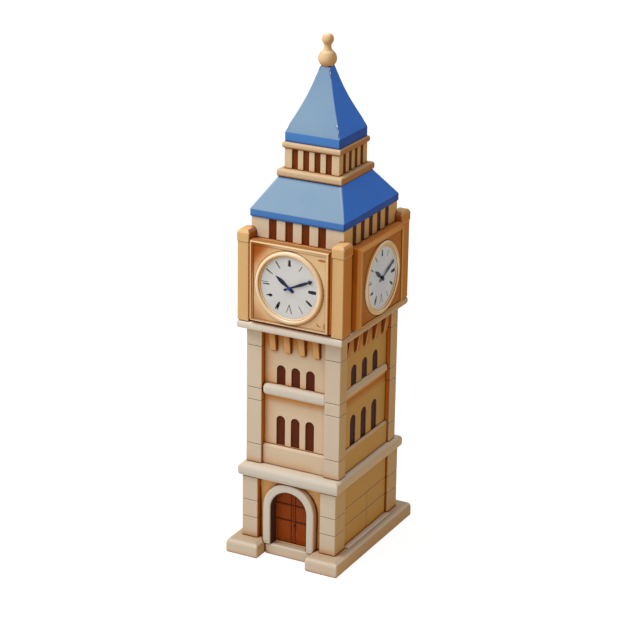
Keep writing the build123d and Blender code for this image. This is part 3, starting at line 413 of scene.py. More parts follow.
SHADED_CORNER_MIDDLE = 12.32            # about the height of the dials' centres, which the painted corner shadows lie round
SHADED_CORNER_SPREAD = (1.95, 2.95)     # sum of the ways across and up at which a painted corner shadow begins and is whole
SHADED_CORNER_DEEP = (2.50, 3.20)       # the same for its deep part


class Graph:
    """The node tree of one material."""

    def __init__(self, name: str) -> None:
        """An empty material with its output and one Principled shader."""
        self.material = bpy.data.materials.new(name)
        self.material.use_nodes = True
        self.tree = self.material.node_tree
        self.tree.nodes.clear()
        self.shader = self.tree.nodes.new("ShaderNodeBsdfPrincipled")
        output = self.tree.nodes.new("ShaderNodeOutputMaterial")
        self.tree.links.new(self.shader.outputs[0], output.inputs["Surface"])
        self.position = self.node("ShaderNodeTexCoord", {}, {}, "Object")
        self.facing = self.node("ShaderNodeTexCoord", {}, {}, "Normal")

    def node(self, kind: str, settings: dict[str, object], inputs: dict[str | int, object],
             output: str | int = 0) -> Value:
        """Add one node.

        Args:
            kind: node type.
            settings: properties, set before the sockets.
            inputs: a Value to link, or a plain value, for each socket.
            output: which output to return.

        Returns:
            The chosen output.
        """
        made = self.tree.nodes.new(kind)
        for key, value in settings.items():
            setattr(made, key, value)
        for key, value in inputs.items():
            self.put(made.inputs[key], value)
        return Value(self, made.outputs[output])

    def put(self, socket: bpy.types.NodeSocket, value: "Value | Colour | float") -> None:
        """Link a Value to a socket, or set the socket: a colour gains its alpha."""
        if isinstance(value, Value):
            self.tree.links.new(value.socket, socket)
        else:
            socket.default_value = (*value, 1.0) if socket.type == "RGBA" else value

    def noise(self, scale: float, detail: float, stretch: tuple[float, float, float] | None = None,
              roughness: float = 0.5) -> Value:
        """Fractal noise from 0 to 1 over the object's own coordinates, about `scale` features a metre."""
        place = self.position
        if stretch is not None:
            place = self.node("ShaderNodeMapping", {}, {"Vector": place, "Scale": stretch})
        return self.node("ShaderNodeTexNoise", {}, {"Vector": place, "Scale": scale, "Detail": detail,
                                                   "Roughness": roughness})

    def axis(self, which: str) -> Value:
        """One coordinate of the object's space."""
        return self.node("ShaderNodeSeparateXYZ", {}, {0: self.position}, which)

    def looks(self, which: str) -> Value:
        """One coordinate of the direction the surface faces, in the object's space."""
        return self.node("ShaderNodeSeparateXYZ", {}, {0: self.facing}, which)

    def shaded_flank(self) -> Value:
        """1 on the walls of the two long sides, which the finishes paint as in shade; 0 on the ends and on level tops.
        """
        return self.looks("X").absolute().ramp(0.35, 0.95)

    def rounded(self) -> Value:
        """1 on rounded edges that face up or sideways, where the stone finish paints a highlight; 0 on flat faces and
        on undersides.
        """
        x, y, z = (self.looks(which) for which in "XYZ")
        flat = x.absolute().larger(y.absolute()).larger(z.absolute())
        return (1.0 - flat).ramp(0.06, 0.26) * z.ramp(-0.15, 0.30)

    def mix(self, mask: "Value | float", low: "Value | Colour", high: "Value | Colour") -> Value:
        """Colour low where the mask is 0, high where it is 1."""
        return self.node("ShaderNodeMix", {"data_type": "RGBA"}, {0: mask, 6: low, 7: high}, 2)

    def closed(self, reach: float) -> Value:
        """0 on open faces, rising to 1 in corners that other surfaces close in within the reach."""
        return 1.0 - self.node("ShaderNodeAmbientOcclusion", {"samples": 6}, {"Distance": reach}, "AO")

    def edges(self, reach: float) -> Value:
        """1 along edges that stand out, falling to 0 within the reach."""
        settings = {"samples": 4, "inside": True}
        return 1.0 - self.node("ShaderNodeAmbientOcclusion", settings, {"Distance": reach}, "AO")

    def across(self) -> Value:
        """Distance to the right of the middle of whichever face of the tower the surface is on."""
        return self.axis("Y") * self.looks("X") - self.axis("X") * self.looks("Y")

    def turned(self) -> Value:
        """How far a surface is turned to the right and down of its face of the tower: from -1, left and up, to 1."""
        x, y = self.axis("X"), self.axis("Y")
        side = (x.absolute() - y.absolute()).ramp(-0.1, 0.1)
        rightward_end = self.looks("X") * (1.0 - y.ramp(-0.01, 0.01) * 2.0)
        rightward_side = self.looks("Y") * (x.ramp(-0.01, 0.01) * 2.0 - 1.0)
        return (rightward_end * (1.0 - side) + rightward_side * side) * 0.75 - self.looks("Z") * 0.66

    def inward(self) -> Value:
        """1 on upright faces that look back towards the tower's axis, such as the inner sides of the piers."""
        outward = self.axis("X") * self.looks("X") + self.axis("Y") * self.looks("Y")
        return outward.ramp(-0.2, -1.0)

    def bump(self, height: Value, depth: float, strength: float) -> None:
        """Relief of the given depth in metres, fed to the shader's normal."""
        normal = self.node("ShaderNodeBump", {}, {"Height": height, "Distance": depth, "Strength": strength}, "Normal")
        self.put(self.shader.inputs["Normal"], normal)

    def surface(self, colour: "Value | Colour", roughness: "Value | float", specular: float) -> None:
        """Feed the shader's colour, roughness and shine."""
        for socket, value in (("Base Color", colour), ("Roughness", roughness), ("Specular IOR Level", specular)):
            self.put(self.shader.inputs[socket], value)


# ------------------------------------------------------------------------------------------------ finishes
@dataclass(frozen=True)
class StoneFinish:
    """Stone with fine grain and random stains, painted paler on the lit ends and deeper on the shaded long sides, with
    edges paled by wear and a painted highlight, and warm painted shade in corners and under overhangs, with darker
    joints.

    Args:
        name: material name.
        slot: the record's material slot.
        face: colour of open faces that look to the front or back, painted as the lit copy of the stone.
        shaded_flank: colour of open faces on the long sides, painted as the shaded copy of the stone.
        stain_and_shade: colour of the random stains and streaks, and of painted shade in corners, under overhangs and
            on mouldings turned from the light.
        deep: colour of the deepest painted shade, in the tightest corners and on faces turned back to the axis.
        reach: how far from a corner the painted shade spreads.
        amount: how strongly it colours, 0 to 1.
        worn_and_lit: how far edges are paled, by wear along convex edges and by a painted highlight on rounds that face
            up or sideways, 0 to 1.
        pale: colour of wear on edges and of painted highlights.
        spread: how closed a corner is where the painted shade begins, and where it turns deep.
        shaded_corners: painted shadows in the corners of the four faces, as the way right, the way up and the strength
            of each.
        under: how strongly surfaces that face down are painted in shade, 0 to 1.
        joint_and_crease_shade: colour of dark narrow joints, and of painted shade in tight creases.
        top: colour of level tops, where it differs from the face, painted for how light falls on them.
        turned: how far mouldings are painted in shade where they turn right and down, and painted with a highlight
            where they turn left and up.
        inward: how far faces that look back to the tower's axis are painted in shade.
        edge: how far from an edge the paling reaches.
        rises: colour that grows from one height to another and ends at a third, each with its strength: painted shade
            under the sill bands and the clock stage, and darker towards the ground on the plinth.
        dulled: share of the deep painted shade in them on the sides.
        fade: where, across a face, the painted shade in corners dies away and where it is whole.
    """

    name: str
    slot: str
    face: Colour
    shaded_flank: Colour
    stain_and_shade: Colour = rgb(206, 131, 12)
    deep: Colour = rgb(172, 78, 10)
    reach: float = 0.45
    amount: float = 0.85
    worn_and_lit: float = 0.35
    pale: Colour = rgb(222, 213, 200)
    spread: tuple[float, float] = (0.12, 0.36)
    shaded_corners: tuple[tuple[float, float, float], ...] = ()
    under: float = 0.0
    joint_and_crease_shade: Colour = rgb(98, 54, 24)
    top: Colour | None = None
    turned: float = 0.0
    inward: float = 0.0
    edge: float = 0.06
    rises: tuple[tuple[float, float, float, float], ...] = ()
    dulled: float = 0.0
    fade: tuple[float, float] | None = None

    def material(self) -> bpy.types.Material:
        """Build the finish."""
        graph = Graph(self.name)
        grain = graph.noise(24.0, 4.0)
        clouds = graph.noise(0.6, 4.0).ramp(0.40, 0.70)
        streaks = graph.noise(1.7, 3.0, (1.0, 1.0, 0.2)).ramp(0.48, 0.78)
        # painted light: level tops take a colour of their own for how light falls on them, and the long sides a shaded
        # copy of the stone
        level = self.face if self.top is None else graph.mix(graph.looks("Z").ramp(0.55, 0.95), self.face, self.top)
        colour = graph.mix(graph.shaded_flank(), level, self.shaded_flank)
        colour = graph.mix(clouds * 0.05 + streaks * 0.04, colour, self.stain_and_shade)
        # painted shade on surfaces that face down
        if self.under:
            colour = graph.mix(graph.looks("Z").ramp(0.10, -0.75) * self.under, colour, self.stain_and_shade)
        # painted shade on faces that look back to the tower's axis
        if self.inward:
            colour = graph.mix(graph.inward() * self.inward, colour, self.deep)
        # painted shade where mouldings turn right and down, painted highlight where they turn left and up
        if self.turned:
            turned = graph.turned()
            shaded = turned.ramp(0.12, 0.72) * self.turned + turned.ramp(-0.69, -0.74) * 0.9
            colour = graph.mix(shaded, colour, self.stain_and_shade)
            colour = graph.mix(turned.ramp(-0.12, -0.40) * turned.ramp(-0.64, -0.52) * self.turned, colour, self.pale)
        # painted shadows in the corners of each face
        for side, height, amount in self.shaded_corners:
            spread = graph.across() * side + (graph.axis("Z") - SHADED_CORNER_MIDDLE) * height
            colour = graph.mix((spread + clouds * 0.25).ramp(*SHADED_CORNER_SPREAD) * amount, colour, self.stain_and_shade)
            colour = graph.mix((spread + clouds * 0.25).ramp(*SHADED_CORNER_DEEP) * (amount * 0.7), colour, self.deep)
        # bands painted darker between heights: painted shade under overhangs, deeper on the sides; on the plinth,
        # darker towards the ground
        for low, high, end, amount in self.rises:
            risen = graph.axis("Z").ramp(low, high) * graph.axis("Z").ramp(end + 0.04, end)
            tint = graph.mix(graph.shaded_flank() * self.dulled, self.stain_and_shade, self.deep)
            colour = graph.mix(risen * amount, colour, tint)
        # painted shade that gathers in corners within the reach, turning deep in the tightest ones
        closed = graph.closed(self.reach)
        if self.fade is not None:
            closed = closed * graph.across().ramp(*self.fade)
        ragged = closed + (graph.noise(3.2, 3.0) - 0.5) * 0.12 * closed.ramp(0.0, 0.15)
        colour = graph.mix(ragged.ramp(*self.spread) * self.amount, colour, self.stain_and_shade)
        colour = graph.mix(ragged.ramp(self.spread[1] * 0.8, 0.80) * self.amount, colour, self.deep)
        joint_and_crease_shade = graph.closed(0.07)
        # edges paled, partly as wear along convex edges and partly as a painted highlight on rounds that face up or
        # sideways
        if self.worn_and_lit:
            worn_lit_edges = graph.edges(self.edge).ramp(0.06, 0.40) * closed.ramp(0.40, 0.12) * joint_and_crease_shade.ramp(0.22, 0.08)
            colour = graph.mix((worn_lit_edges + graph.rounded() * 0.4) * self.worn_and_lit, colour, self.pale)
        # darker narrow joints, and painted shade in tight creases
        colour = graph.mix(joint_and_crease_shade.ramp(0.10, 0.42) * 0.9, colour, self.joint_and_crease_shade)
        colour = graph.mix(grain.ramp(0.32, 0.66) * 0.05, colour, self.stain_and_shade)
        graph.surface(colour, 0.54 + grain * 0.16, 0.08)
        graph.bump(grain * 0.6 + graph.noise(7.0, 4.0) * 0.4, 0.004, 0.5)
        return graph.material


@dataclass(frozen=True)
class RoofFinish:
    """Satin roof paint, painted paler on the lit end slopes and deeper on the shaded sides, paled along the hips by
    wear and a painted highlight, and chipped near their ends.

    Args:
        name: material name.
        slot: the record's material slot.
        lit_end_slopes: colour of the end slopes, painted as the lit copy of the paint.
        deep: colour of the side slopes, painted as the shaded copy of the paint.
        fascia: colour of the upright eaves on the ends, painted darker than the slopes for the light they get.
        shade: colour under the eaves and of the upright eaves on the sides.
        worn_and_lit: pale colour along the hips, of wear and of a painted highlight.
        primer: what shows where the paint has gone.
        chips: heights between which chips gather, lowest first.
        lower_hips: the lower roof's eaves height, then half its width there and how fast that shrinks, along X and Y.
    """

    name: str = "roof_paint"
    slot: str = "roof_blue"
    lit_end_slopes: Colour = rgb(122, 149, 173)
    deep: Colour = rgb(46, 112, 206)
    fascia: Colour = rgb(72, 122, 186)
    shade: Colour = rgb(20, 66, 142)
    worn_and_lit: Colour = rgb(164, 184, 200)
    primer: Colour = rgb(206, 206, 200)
    chips: tuple[tuple[float, float], ...] = ((18.30, 18.92), (20.42, 21.02))
    lower_hips: tuple[float, float, float, float, float] = (15.235, 2.178, 0.625, 2.519, 0.911)

    def material(self) -> bpy.types.Material:
        """Build the finish."""
        graph = Graph(self.name)
        speckle = graph.noise(30.0, 3.0)
        # painted light: end slopes take a lit copy of the paint, side slopes a shaded copy, and the upright eaves a
        # darker copy than the slopes
        sloping = graph.looks("Z").ramp(0.10, 0.34)
        side = graph.looks("X").absolute().ramp(0.25, 0.55)
        ends = graph.mix(sloping, self.fascia, self.lit_end_slopes)
        sides = graph.mix(sloping, self.shade, self.deep)
        colour = graph.mix(side, ends, sides)
        colour = graph.mix(graph.noise(0.9, 4.0).ramp(0.42, 0.70) * 0.12, colour, self.fascia)
        height = graph.axis("Z")
        x, y = graph.axis("X").absolute(), graph.axis("Y").absolute()
        foot, half_x, lean_x, half_y, lean_y = self.lower_hips
        lower = (half_x - x) + (half_y - y) - (height - foot) * (lean_x + lean_y)
        upper = (x - y).absolute()
        spire = height.ramp(17.0, 17.1)
        hip = lower * (1.0 - spire) + upper * spire
        # hips paled by wear and by a painted highlight
        near_hip = hip.ramp(0.040, 0.012) * sloping
        colour = graph.mix(near_hip * 0.45, colour, self.worn_and_lit)
        ragged = graph.noise(7.0, 4.0, (1.0, 1.0, 0.45))
        flaking = None
        for low, high in self.chips:
            window = height.ramp(low, low + 0.12) * height.ramp(high, high - 0.12)
            flaking = window if flaking is None else flaking + window
        spread = hip + (ragged - 0.5) * 0.30
        colour = graph.mix(spread.ramp(0.050, 0.034) * flaking * sloping * 0.9, colour, self.shade)
        colour = graph.mix(spread.ramp(0.018, 0.004) * flaking * sloping, colour, self.primer)
        # painted shade along the foot of each fascia
        for node in ("lower_roof", "spire_roof"):
            foot = Box.of(node).foot
            edge = height.ramp(foot + 0.11, foot + 0.02) * height.ramp(foot - 0.06, foot - 0.03)
            colour = graph.mix(edge * 0.6, colour, self.shade)
        # painted shade in corners
        closed = graph.closed(0.3)
        colour = graph.mix(closed.ramp(0.20, 0.75) * 0.8, colour, self.shade)
        graph.surface(colour, 0.42 + speckle * 0.14, 0.12)
        graph.bump(graph.noise(5.0, 5.0) * 0.7 + speckle * 0.3, 0.005, 0.3)
        return graph.material


@dataclass(frozen=True)
class TimberFinish:
    """Oiled or painted boards: grain drawn out along one axis, with painted shade in grooves and corners, and the long
    sides painted darker in shade.

    Args:
        name: material name.
        slot: the record's material slot.
        light: colour between the fibres.
        dark: colour of the fibres.
        groove: colour of painted shade in grooves and corners, of the dark lines, and of the long sides' painted shade.
        grain: how many fibres a metre along each axis.
        roughness: lowest roughness.
        seams: dark lines along the joints, each an axis, a distance from the middle and half a width.
        side_shade: how far the long sides are painted darker in shade, 0 to 1.
    """

    name: str
    slot: str
    light: Colour
    dark: Colour
    groove: Colour
    grain: tuple[float, float, float] = (14.0, 14.0, 1.1)
    roughness: float = 0.45
    seams: tuple[tuple[str, float, float], ...] = ()
    side_shade: float = 0.0

    def material(self) -> bpy.types.Material:
        """Build the finish."""
        graph = Graph(self.name)
        fibres = graph.noise(2.2, 6.0, self.grain, 0.62)
        broad = graph.noise(0.8, 3.0, (1.6, 1.6, 0.5))
        colour = graph.mix((fibres * 0.7 + broad * 0.3).ramp(0.36, 0.64), self.light, self.dark)
        # painted shade on the long sides
        colour = graph.mix(graph.shaded_flank() * self.side_shade, colour, self.groove)
        # painted shade in grooves and corners
        closed = graph.closed(0.12)
        colour = graph.mix(closed.ramp(0.25, 0.8) * 0.85, colour, self.groove)
        for axis, place, half in self.seams:
            off = (graph.axis(axis).absolute() - place).absolute()
            colour = graph.mix(off.ramp(half, half * 0.45) * 0.9, colour, self.groove)
        graph.surface(colour, self.roughness + fibres * 0.15, 0.12)
        graph.bump(fibres, 0.003, 0.5)
        return graph.material


@dataclass(frozen=True)
class PaintFinish:
    """Plain brushed paint or enamel with a faint unevenness.

    Args:
        name: material name.
        slot: the record's material slot.
        face: its colour.
        shade: colour in its clouds, and painted shade in its corners.
        roughness: lowest roughness.
        metallic: 0 for paint, towards 1 for bare metal.
        reach: how far from a corner the shade spreads.
    """

    name: str
    slot: str
    face: Colour
    shade: Colour
    roughness: float = 0.45
    metallic: float = 0.0
    reach: float = 0.08

    def material(self) -> bpy.types.Material:
        """Build the finish."""
        graph = Graph(self.name)
        clouds = graph.noise(1.4, 4.0).ramp(0.35, 0.68)
        colour = graph.mix(clouds * 0.5, self.face, self.shade)
        # painted shade in corners, within the reach
        closed = graph.closed(self.reach)
        colour = graph.mix(closed.ramp(0.3, 0.9) * 0.5, colour, self.shade)
        graph.surface(colour, self.roughness + graph.noise(18.0, 3.0) * 0.12, 0.25)
        graph.put(graph.shader.inputs["Metallic"], self.metallic)
        graph.bump(graph.noise(14.0, 4.0), 0.002, 0.35)
        return graph.material


class Finishes:
    """Every finish of the tower, built once."""

    def __init__(self) -> None:
        """Build the materials and note the slot of each."""
        # orange of random stains and of painted shade, and brown of the deepest painted shade
        orange_stain_and_shade, deepest_shade_brown = rgb(190, 98, 20), rgb(116, 50, 12)
        door_seams = (("Z", 1.58, 0.036), ("Z", 2.32, 0.036), ("X", 0.095, 0.028), ("X", 0.0, 0.014))
        corbel_head, band_foot = Box.of("corbels").head, Box.of("sill_bands").foot
        # painted shade on the walls under the sill bands and the clock stage, and at the corbels' heads
        under_sill = (band_foot - 0.45, band_foot - 0.02, band_foot, 0.75)
        under_clock = (corbel_head - 0.80, corbel_head - 0.05, corbel_head + 0.5, 0.6)
        down_corbels = (corbel_head - 0.65, corbel_head - 0.05, corbel_head, 0.6)
        recipes = {
            # the plinth's band makes it darker towards the ground
            "plinth": StoneFinish("plinth_stone", "plinth_stone", rgb(212, 194, 171), rgb(192, 152, 104), worn_and_lit=0.8,
                                  pale=rgb(232, 226, 216), reach=0.30, amount=0.55, spread=(0.14, 0.60),
                                  top=rgb(193, 173, 147), edge=0.09, rises=((0.22, 0.0, 0.5, 0.22),)),
            # painted shade on the piers' inner faces
            "pier": StoneFinish("pier_stone", "pier_stone", rgb(213, 195, 171), rgb(194, 154, 101), inward=0.95,
                                worn_and_lit=0.3, amount=0.55, deep=rgb(180, 82, 12)),
            "wall": StoneFinish("wall_stone", "wall_stone", rgb(219, 195, 164), rgb(190, 141, 72), reach=0.95, worn_and_lit=0.0,
                                amount=0.88, spread=(0.02, 0.42), fade=(1.30, 0.70),
                                rises=(under_sill, under_clock),
                                dulled=1.0),
            "course": StoneFinish("coursed_wall_stone", "wall_stone", rgb(219, 195, 164), rgb(190, 141, 72), worn_and_lit=0.15,
                                  amount=0.6),
            "apron": StoneFinish("apron_stone", "wall_stone", rgb(219, 196, 166), rgb(190, 141, 72), worn_and_lit=0.45,
                                 reach=0.5, amount=0.4, spread=(0.04, 0.50), fade=(1.30, 0.70)),
            "gate": StoneFinish("gate_wall_stone", "wall_stone", rgb(238, 192, 130), rgb(190, 140, 76), reach=0.55,
                                worn_and_lit=0.0, amount=0.5, spread=(0.06, 0.50)),
            "moulding": StoneFinish("moulding_stone", "moulding_stone", rgb(213, 203, 187), rgb(202, 170, 128),
                                    worn_and_lit=0.4, reach=0.28, amount=0.45, spread=(0.12, 0.55)),
            "cornice": StoneFinish("cornice_stone", "moulding_stone", rgb(222, 211, 194), rgb(192, 156, 108), worn_and_lit=0.3,
                                   reach=0.20, amount=0.35, spread=(0.20, 0.60)),
            "post": StoneFinish("post_stone", "pier_stone", rgb(218, 201, 174), rgb(210, 160, 94), reach=0.10,
                                worn_and_lit=0.15, amount=0.15),
            "baluster": StoneFinish("lantern_post_stone", "pier_stone", rgb(212, 188, 152), rgb(204, 150, 84),
                                    reach=0.12, worn_and_lit=0.25, amount=0.5),
            # painted shade on the clock piers' inner faces
            "clock": StoneFinish("clock_stone", "clock_stone", rgb(220, 178, 122), rgb(192, 120, 48), orange_stain_and_shade, deepest_shade_brown, 0.45,
                                 0.7, 0.35, rgb(232, 206, 164), inward=0.7),
            # painted shade on the corbels' right sides and at their heads, and painted highlight on their left sides
            "corbel": StoneFinish("corbel_stone", "clock_stone", rgb(224, 170, 106), rgb(188, 114, 38),
                                  rgb(148, 74, 14), rgb(82, 34, 8), 0.34, 0.95, 0.15, rgb(232, 190, 138), (0.18, 0.46),
                                  turned=0.85, rises=(down_corbels,)),
            # painted shadows in the frames' corners, strongest at the top left, and painted shade and highlight on
            # turned mouldings
            "frame": StoneFinish("dial_frame_stone", "clock_stone", rgb(231, 198, 150), rgb(172, 106, 38), orange_stain_and_shade,
                                 rgb(132, 62, 12), 0.26, 0.55, 0.0, rgb(242, 216, 176), (0.18, 0.56),
                                 ((-1.0, 1.0, 0.95), (-1.0, -1.0, 0.5), (1.0, 1.0, 0.06), (1.0, -1.0, 0.10)),
                                 top=rgb(158, 112, 66), turned=0.4),
            # the side frames take a shaded copy of the frames' stone, with painted shadows in two corners
            "side_frame": StoneFinish("side_frame_shaded_stone", "clock_stone", rgb(216, 138, 62), rgb(172, 106, 38), orange_stain_and_shade,
                                      rgb(132, 62, 12), 0.26, 0.4, 0.0, rgb(236, 170, 98), (0.18, 0.56),
                                      ((1.0, 1.0, 0.35), (-1.0, -1.0, 0.35)), top=rgb(196, 122, 56), turned=0.5),
            # the beads' pale colour is a painted highlight along the borders' crests
            "bead": StoneFinish("frame_bead_painted_highlight", "clock_stone", rgb(234, 204, 156), rgb(190, 130, 66), worn_and_lit=0.0,
                                amount=0.3, turned=0.4, pale=rgb(238, 214, 176), top=rgb(224, 202, 172)),
            "side_bead": StoneFinish("side_frame_bead_painted_highlight", "clock_stone", rgb(252, 188, 104), rgb(190, 120, 52),
                                     worn_and_lit=0.0, amount=0.3, turned=0.4, pale=rgb(250, 206, 136), top=rgb(236, 176, 104)),
            # painted shade and highlight on the bezel's roll, by the way it turns
            "bezel": StoneFinish("bezel_stone", "clock_stone", rgb(236, 208, 168), rgb(228, 182, 118),
                                 rgb(206, 134, 58), deepest_shade_brown, 0.16, 0.6, 0.0, rgb(248, 232, 204), spread=(0.20, 0.60),
                                 turned=0.9),
            # the fillets' orange is painted shade, coloured as the frames' shaded returns
            "fillet": StoneFinish("frame_fillet_shade_stone", "clock_stone", rgb(212, 122, 46), rgb(190, 98, 32), orange_stain_and_shade, deepest_shade_brown,
                                  0.10, 0.4, 0.0),
            # painted shade on the slabs' undersides
            "tan": StoneFinish("tan_moulding_stone", "moulding_stone", rgb(204, 176, 138), rgb(176, 114, 54),
                               rgb(180, 100, 24), worn_and_lit=0.3, under=0.85, reach=0.25, amount=0.4),
            "floor": StoneFinish("floor_stone", "floor_stone", rgb(190, 176, 156), rgb(180, 160, 130)),
            # the finial is painted lighter on top and in shade underneath
            "finial": StoneFinish("finial_stone", "finial_stone", rgb(212, 180, 136), rgb(208, 160, 102),
                                  rgb(204, 134, 58), deepest_shade_brown, 0.9, 0.5, 0.0, spread=(0.10, 0.50), under=0.75,
                                  top=rgb(234, 216, 186)),
            "roof": RoofFinish(),
            "door": TimberFinish("door_timber", "door_timber", rgb(166, 76, 16), rgb(142, 58, 8), rgb(48, 18, 6),
                                 seams=door_seams),
            "lining": TimberFinish("lining_timber", "door_timber", rgb(84, 52, 40), rgb(64, 40, 32), rgb(30, 14, 8)),
            # shutters and louvres painted darker on the long sides, in shade
            "shutter": TimberFinish("shutter_timber", "shutter_timber", rgb(94, 40, 15), rgb(82, 32, 11),
                                    rgb(44, 18, 8), roughness=0.6, side_shade=0.75),
            "louvre": TimberFinish("louvre_timber", "shutter_timber", rgb(120, 54, 16), rgb(100, 42, 11),
                                   rgb(56, 20, 8), roughness=0.6, side_shade=0.3),
            "threshold": PaintFinish("threshold_stone", "moulding_stone", rgb(222, 184, 130), rgb(206, 160, 100), 0.6),
            # painted shadows beside the bezels and at the frames' corners
            "corner_shadow": PaintFinish("painted_corner_shadow", "clock_stone", rgb(196, 116, 44), rgb(160, 78, 24), 0.7),
            # painted shadows on the gate wall beside the arch and the left pier
            "painted_shadow": PaintFinish("painted_shadow_strokes", "wall_stone", rgb(96, 52, 24), rgb(120, 66, 30), 0.8),
            "dial": PaintFinish("dial_enamel", "dial_enamel", rgb(213, 210, 206), rgb(200, 196, 190), 0.45, reach=0.30),
            "mark": PaintFinish("dial_marks", "dial_enamel", rgb(34, 30, 40), rgb(50, 42, 44), 0.5),
            "faint": PaintFinish("dial_faint_marks", "dial_enamel", rgb(116, 110, 104), rgb(96, 88, 82), 0.5),
            "hand": PaintFinish("hand_paint", "hand_paint", rgb(28, 34, 60), rgb(20, 24, 40), 0.45),
            "hub": PaintFinish("hub_paint", "hand_paint", rgb(40, 78, 168), rgb(30, 54, 124), 0.4),
            "iron": PaintFinish("hinge_iron", "hinge_iron", rgb(46, 44, 46), rgb(30, 28, 30), 0.5, 0.7),
        }
        self.slots = {key: recipe.slot for key, recipe in recipes.items()}
        self.materials = {key: recipe.material() for key, recipe in recipes.items()}

    def dress_node(self, node: str, key: str) -> None:
        """Give a construction node a finish."""
        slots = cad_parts[node].data.materials
        slots.clear()
        slots.append(self.materials[key])


FINISH = Finishes()


def make_piece(name: str, shell: Shell, key: str, body: str = ROOT, replaces: Sequence[str] = ()) -> None:
    """Turn a surface into a finished piece that rides on a body.

    Args:
        name: piece name.
        shell: its surface, already in place.
        key: which finish it takes.
        body: the body that carries it.
        replaces: construction nodes that it stands for.
    """
    cells = np.round(shell.points / MERGE).astype(np.int64)
    _, first, places = np.unique(cells, axis=0, return_index=True, return_inverse=True)
    places = places.ravel()
    points = shell.points[first]
    faces = []
    for face in shell.faces:
        ring = [int(places[index]) for index in face]
        ring = [index for position, index in enumerate(ring) if index != ring[position - 1]]
        if len(set(ring)) > 2:
            faces.append(ring)
    mesh = bpy.data.meshes.new(name)
    mesh.from_pydata(points.tolist(), [], faces)
    mesh.validate()
    mesh.polygons.foreach_set("use_smooth", np.ones(len(mesh.polygons), bool))
    mesh.materials.append(FINISH.materials[key])
    piece = bpy.data.objects.new(name, mesh)
    bpy.context.scene.collection.objects.link(piece)
    mesh.set_sharp_from_angle(angle=math.radians(SHARP))
    even = piece.modifiers.new("even_normals", "WEIGHTED_NORMAL")
    even.keep_sharp = True
    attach(piece, body)
    if replaces:
        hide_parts(*replaces)
    LOG.info("%s: %d points, %d faces", name, len(points), len(faces))


# ------------------------------------------------------------------------------------------------ foot of the tower
@dataclass
class Plinth:
    """Thick rounded plinth, open in front of the door, with the step in the gap and kerbs along the sides.

    Args:
        corner: radius of its corners in plan.
        roll: radius of its upper edge.
        foot_ease: radius of its lower edge.
        step_ease: radius of the step's edges.
        kerb_out: how far the side kerbs reach past the piers.
        kerb_rise: how far they rise over the plinth.
        kerb_in: how far they reach into the walls.
        sunk: how far they reach into the plinth, and stay back from the walls' ends.
        threshold: half the width of the strip at the door, its depth and its rise over the step.
    """

    corner: float = 0.09
    roll: float = 0.24
    foot_ease: float = 0.08
    step_ease: float = 0.085
    kerb_out: float = 0.17
    kerb_rise: float = 0.035
    kerb_in: float = 0.05
    sunk: float = 0.02
    threshold: tuple[float, float, float] = (0.80, 0.05, 0.035)

    def build(self) -> None:
        """Roll the plinth's outline up from the ground and set the step."""
        plinth, step, floor = Box.of("base_plinth"), Box.of("door_step"), Box.of("ground_floor")
        notch, back = step.half_x, float(step.high[1])
        x, y = plinth.half_x, plinth.half_y
        inner_x, inner_y = floor.half_x, floor.half_y
        outline = [(-x, -y), (-notch, -y), (-notch, back), (-inner_x, back), (-inner_x, inner_y),
                   (inner_x, inner_y), (inner_x, back), (notch, back), (notch, -y), (x, -y), (x, y), (-x, y)]
        stones = [rolled(outline, self.corner, bullnose(plinth.foot, plinth.head, self.roll, self.foot_ease))]
        pier = Box.of("ground_piers")
        reach = Box.of("ground_wall_right").half_y - self.sunk
        for side in (-1, 1):
            near, far = side * (Face.RIGHT.wall("ground") - self.kerb_in), side * (pier.half_x + self.kerb_out)
            stones.append(rounded_block((near, -reach, plinth.head - self.sunk),
                                        (far, reach, plinth.head + self.kerb_rise), 0.025))
        make_piece("plinth_stones", joined(stones), "plinth", replaces=["base_plinth"])
        low = (-notch, float(step.low[1]), step.foot)
        high = (notch, float(step.high[1]), step.head)
        make_piece("step_stone", rounded_block(low, high, self.step_ease, 5), "plinth", replaces=["door_step"])
        half, width, rise = self.threshold
        leaf_face = float(Box.of("door_leaf_left").low[1])
        strip = rounded_block((-half, leaf_face - 0.06 - width, step.head - 0.01),
                              (half, leaf_face - 0.06, step.head + rise), 0.012)
        make_piece("door_threshold_strip", strip, "threshold")


@dataclass
class Piers:
    """Corner piers of one storey: a stack of soft-edged stones at each corner.

    Args:
        node: the construction node of the four piers.
        size_x: width of a pier along X.
        size_y: width along Y.
        joints: heights of the joints above the foot.
        ease: radius of the stones' edges.
        finish: which finish they take.
    """

    node: str
    size_x: float
    size_y: float
    joints: tuple[float, ...]
    ease: float = 0.035
    finish: str = "pier"

    def build(self) -> None:
        """Stack the stones at all four corners."""
        box = Box.of(self.node)
        levels = [box.foot, *(box.foot + rise for rise in self.joints), box.head]
        stones = []
        for side_x, side_y in CORNERS:
            inner = (side_x * (box.half_x - self.size_x), side_y * (box.half_y - self.size_y))
            outer = (side_x * box.half_x, side_y * box.half_y)
            stones += [rounded_block((*inner, low + JOINT), (*outer, high - JOINT), self.ease)
                       for low, high in zip(levels, levels[1:])]
        make_piece(f"{self.node}_stones", joined(stones), self.finish, replaces=[self.node])


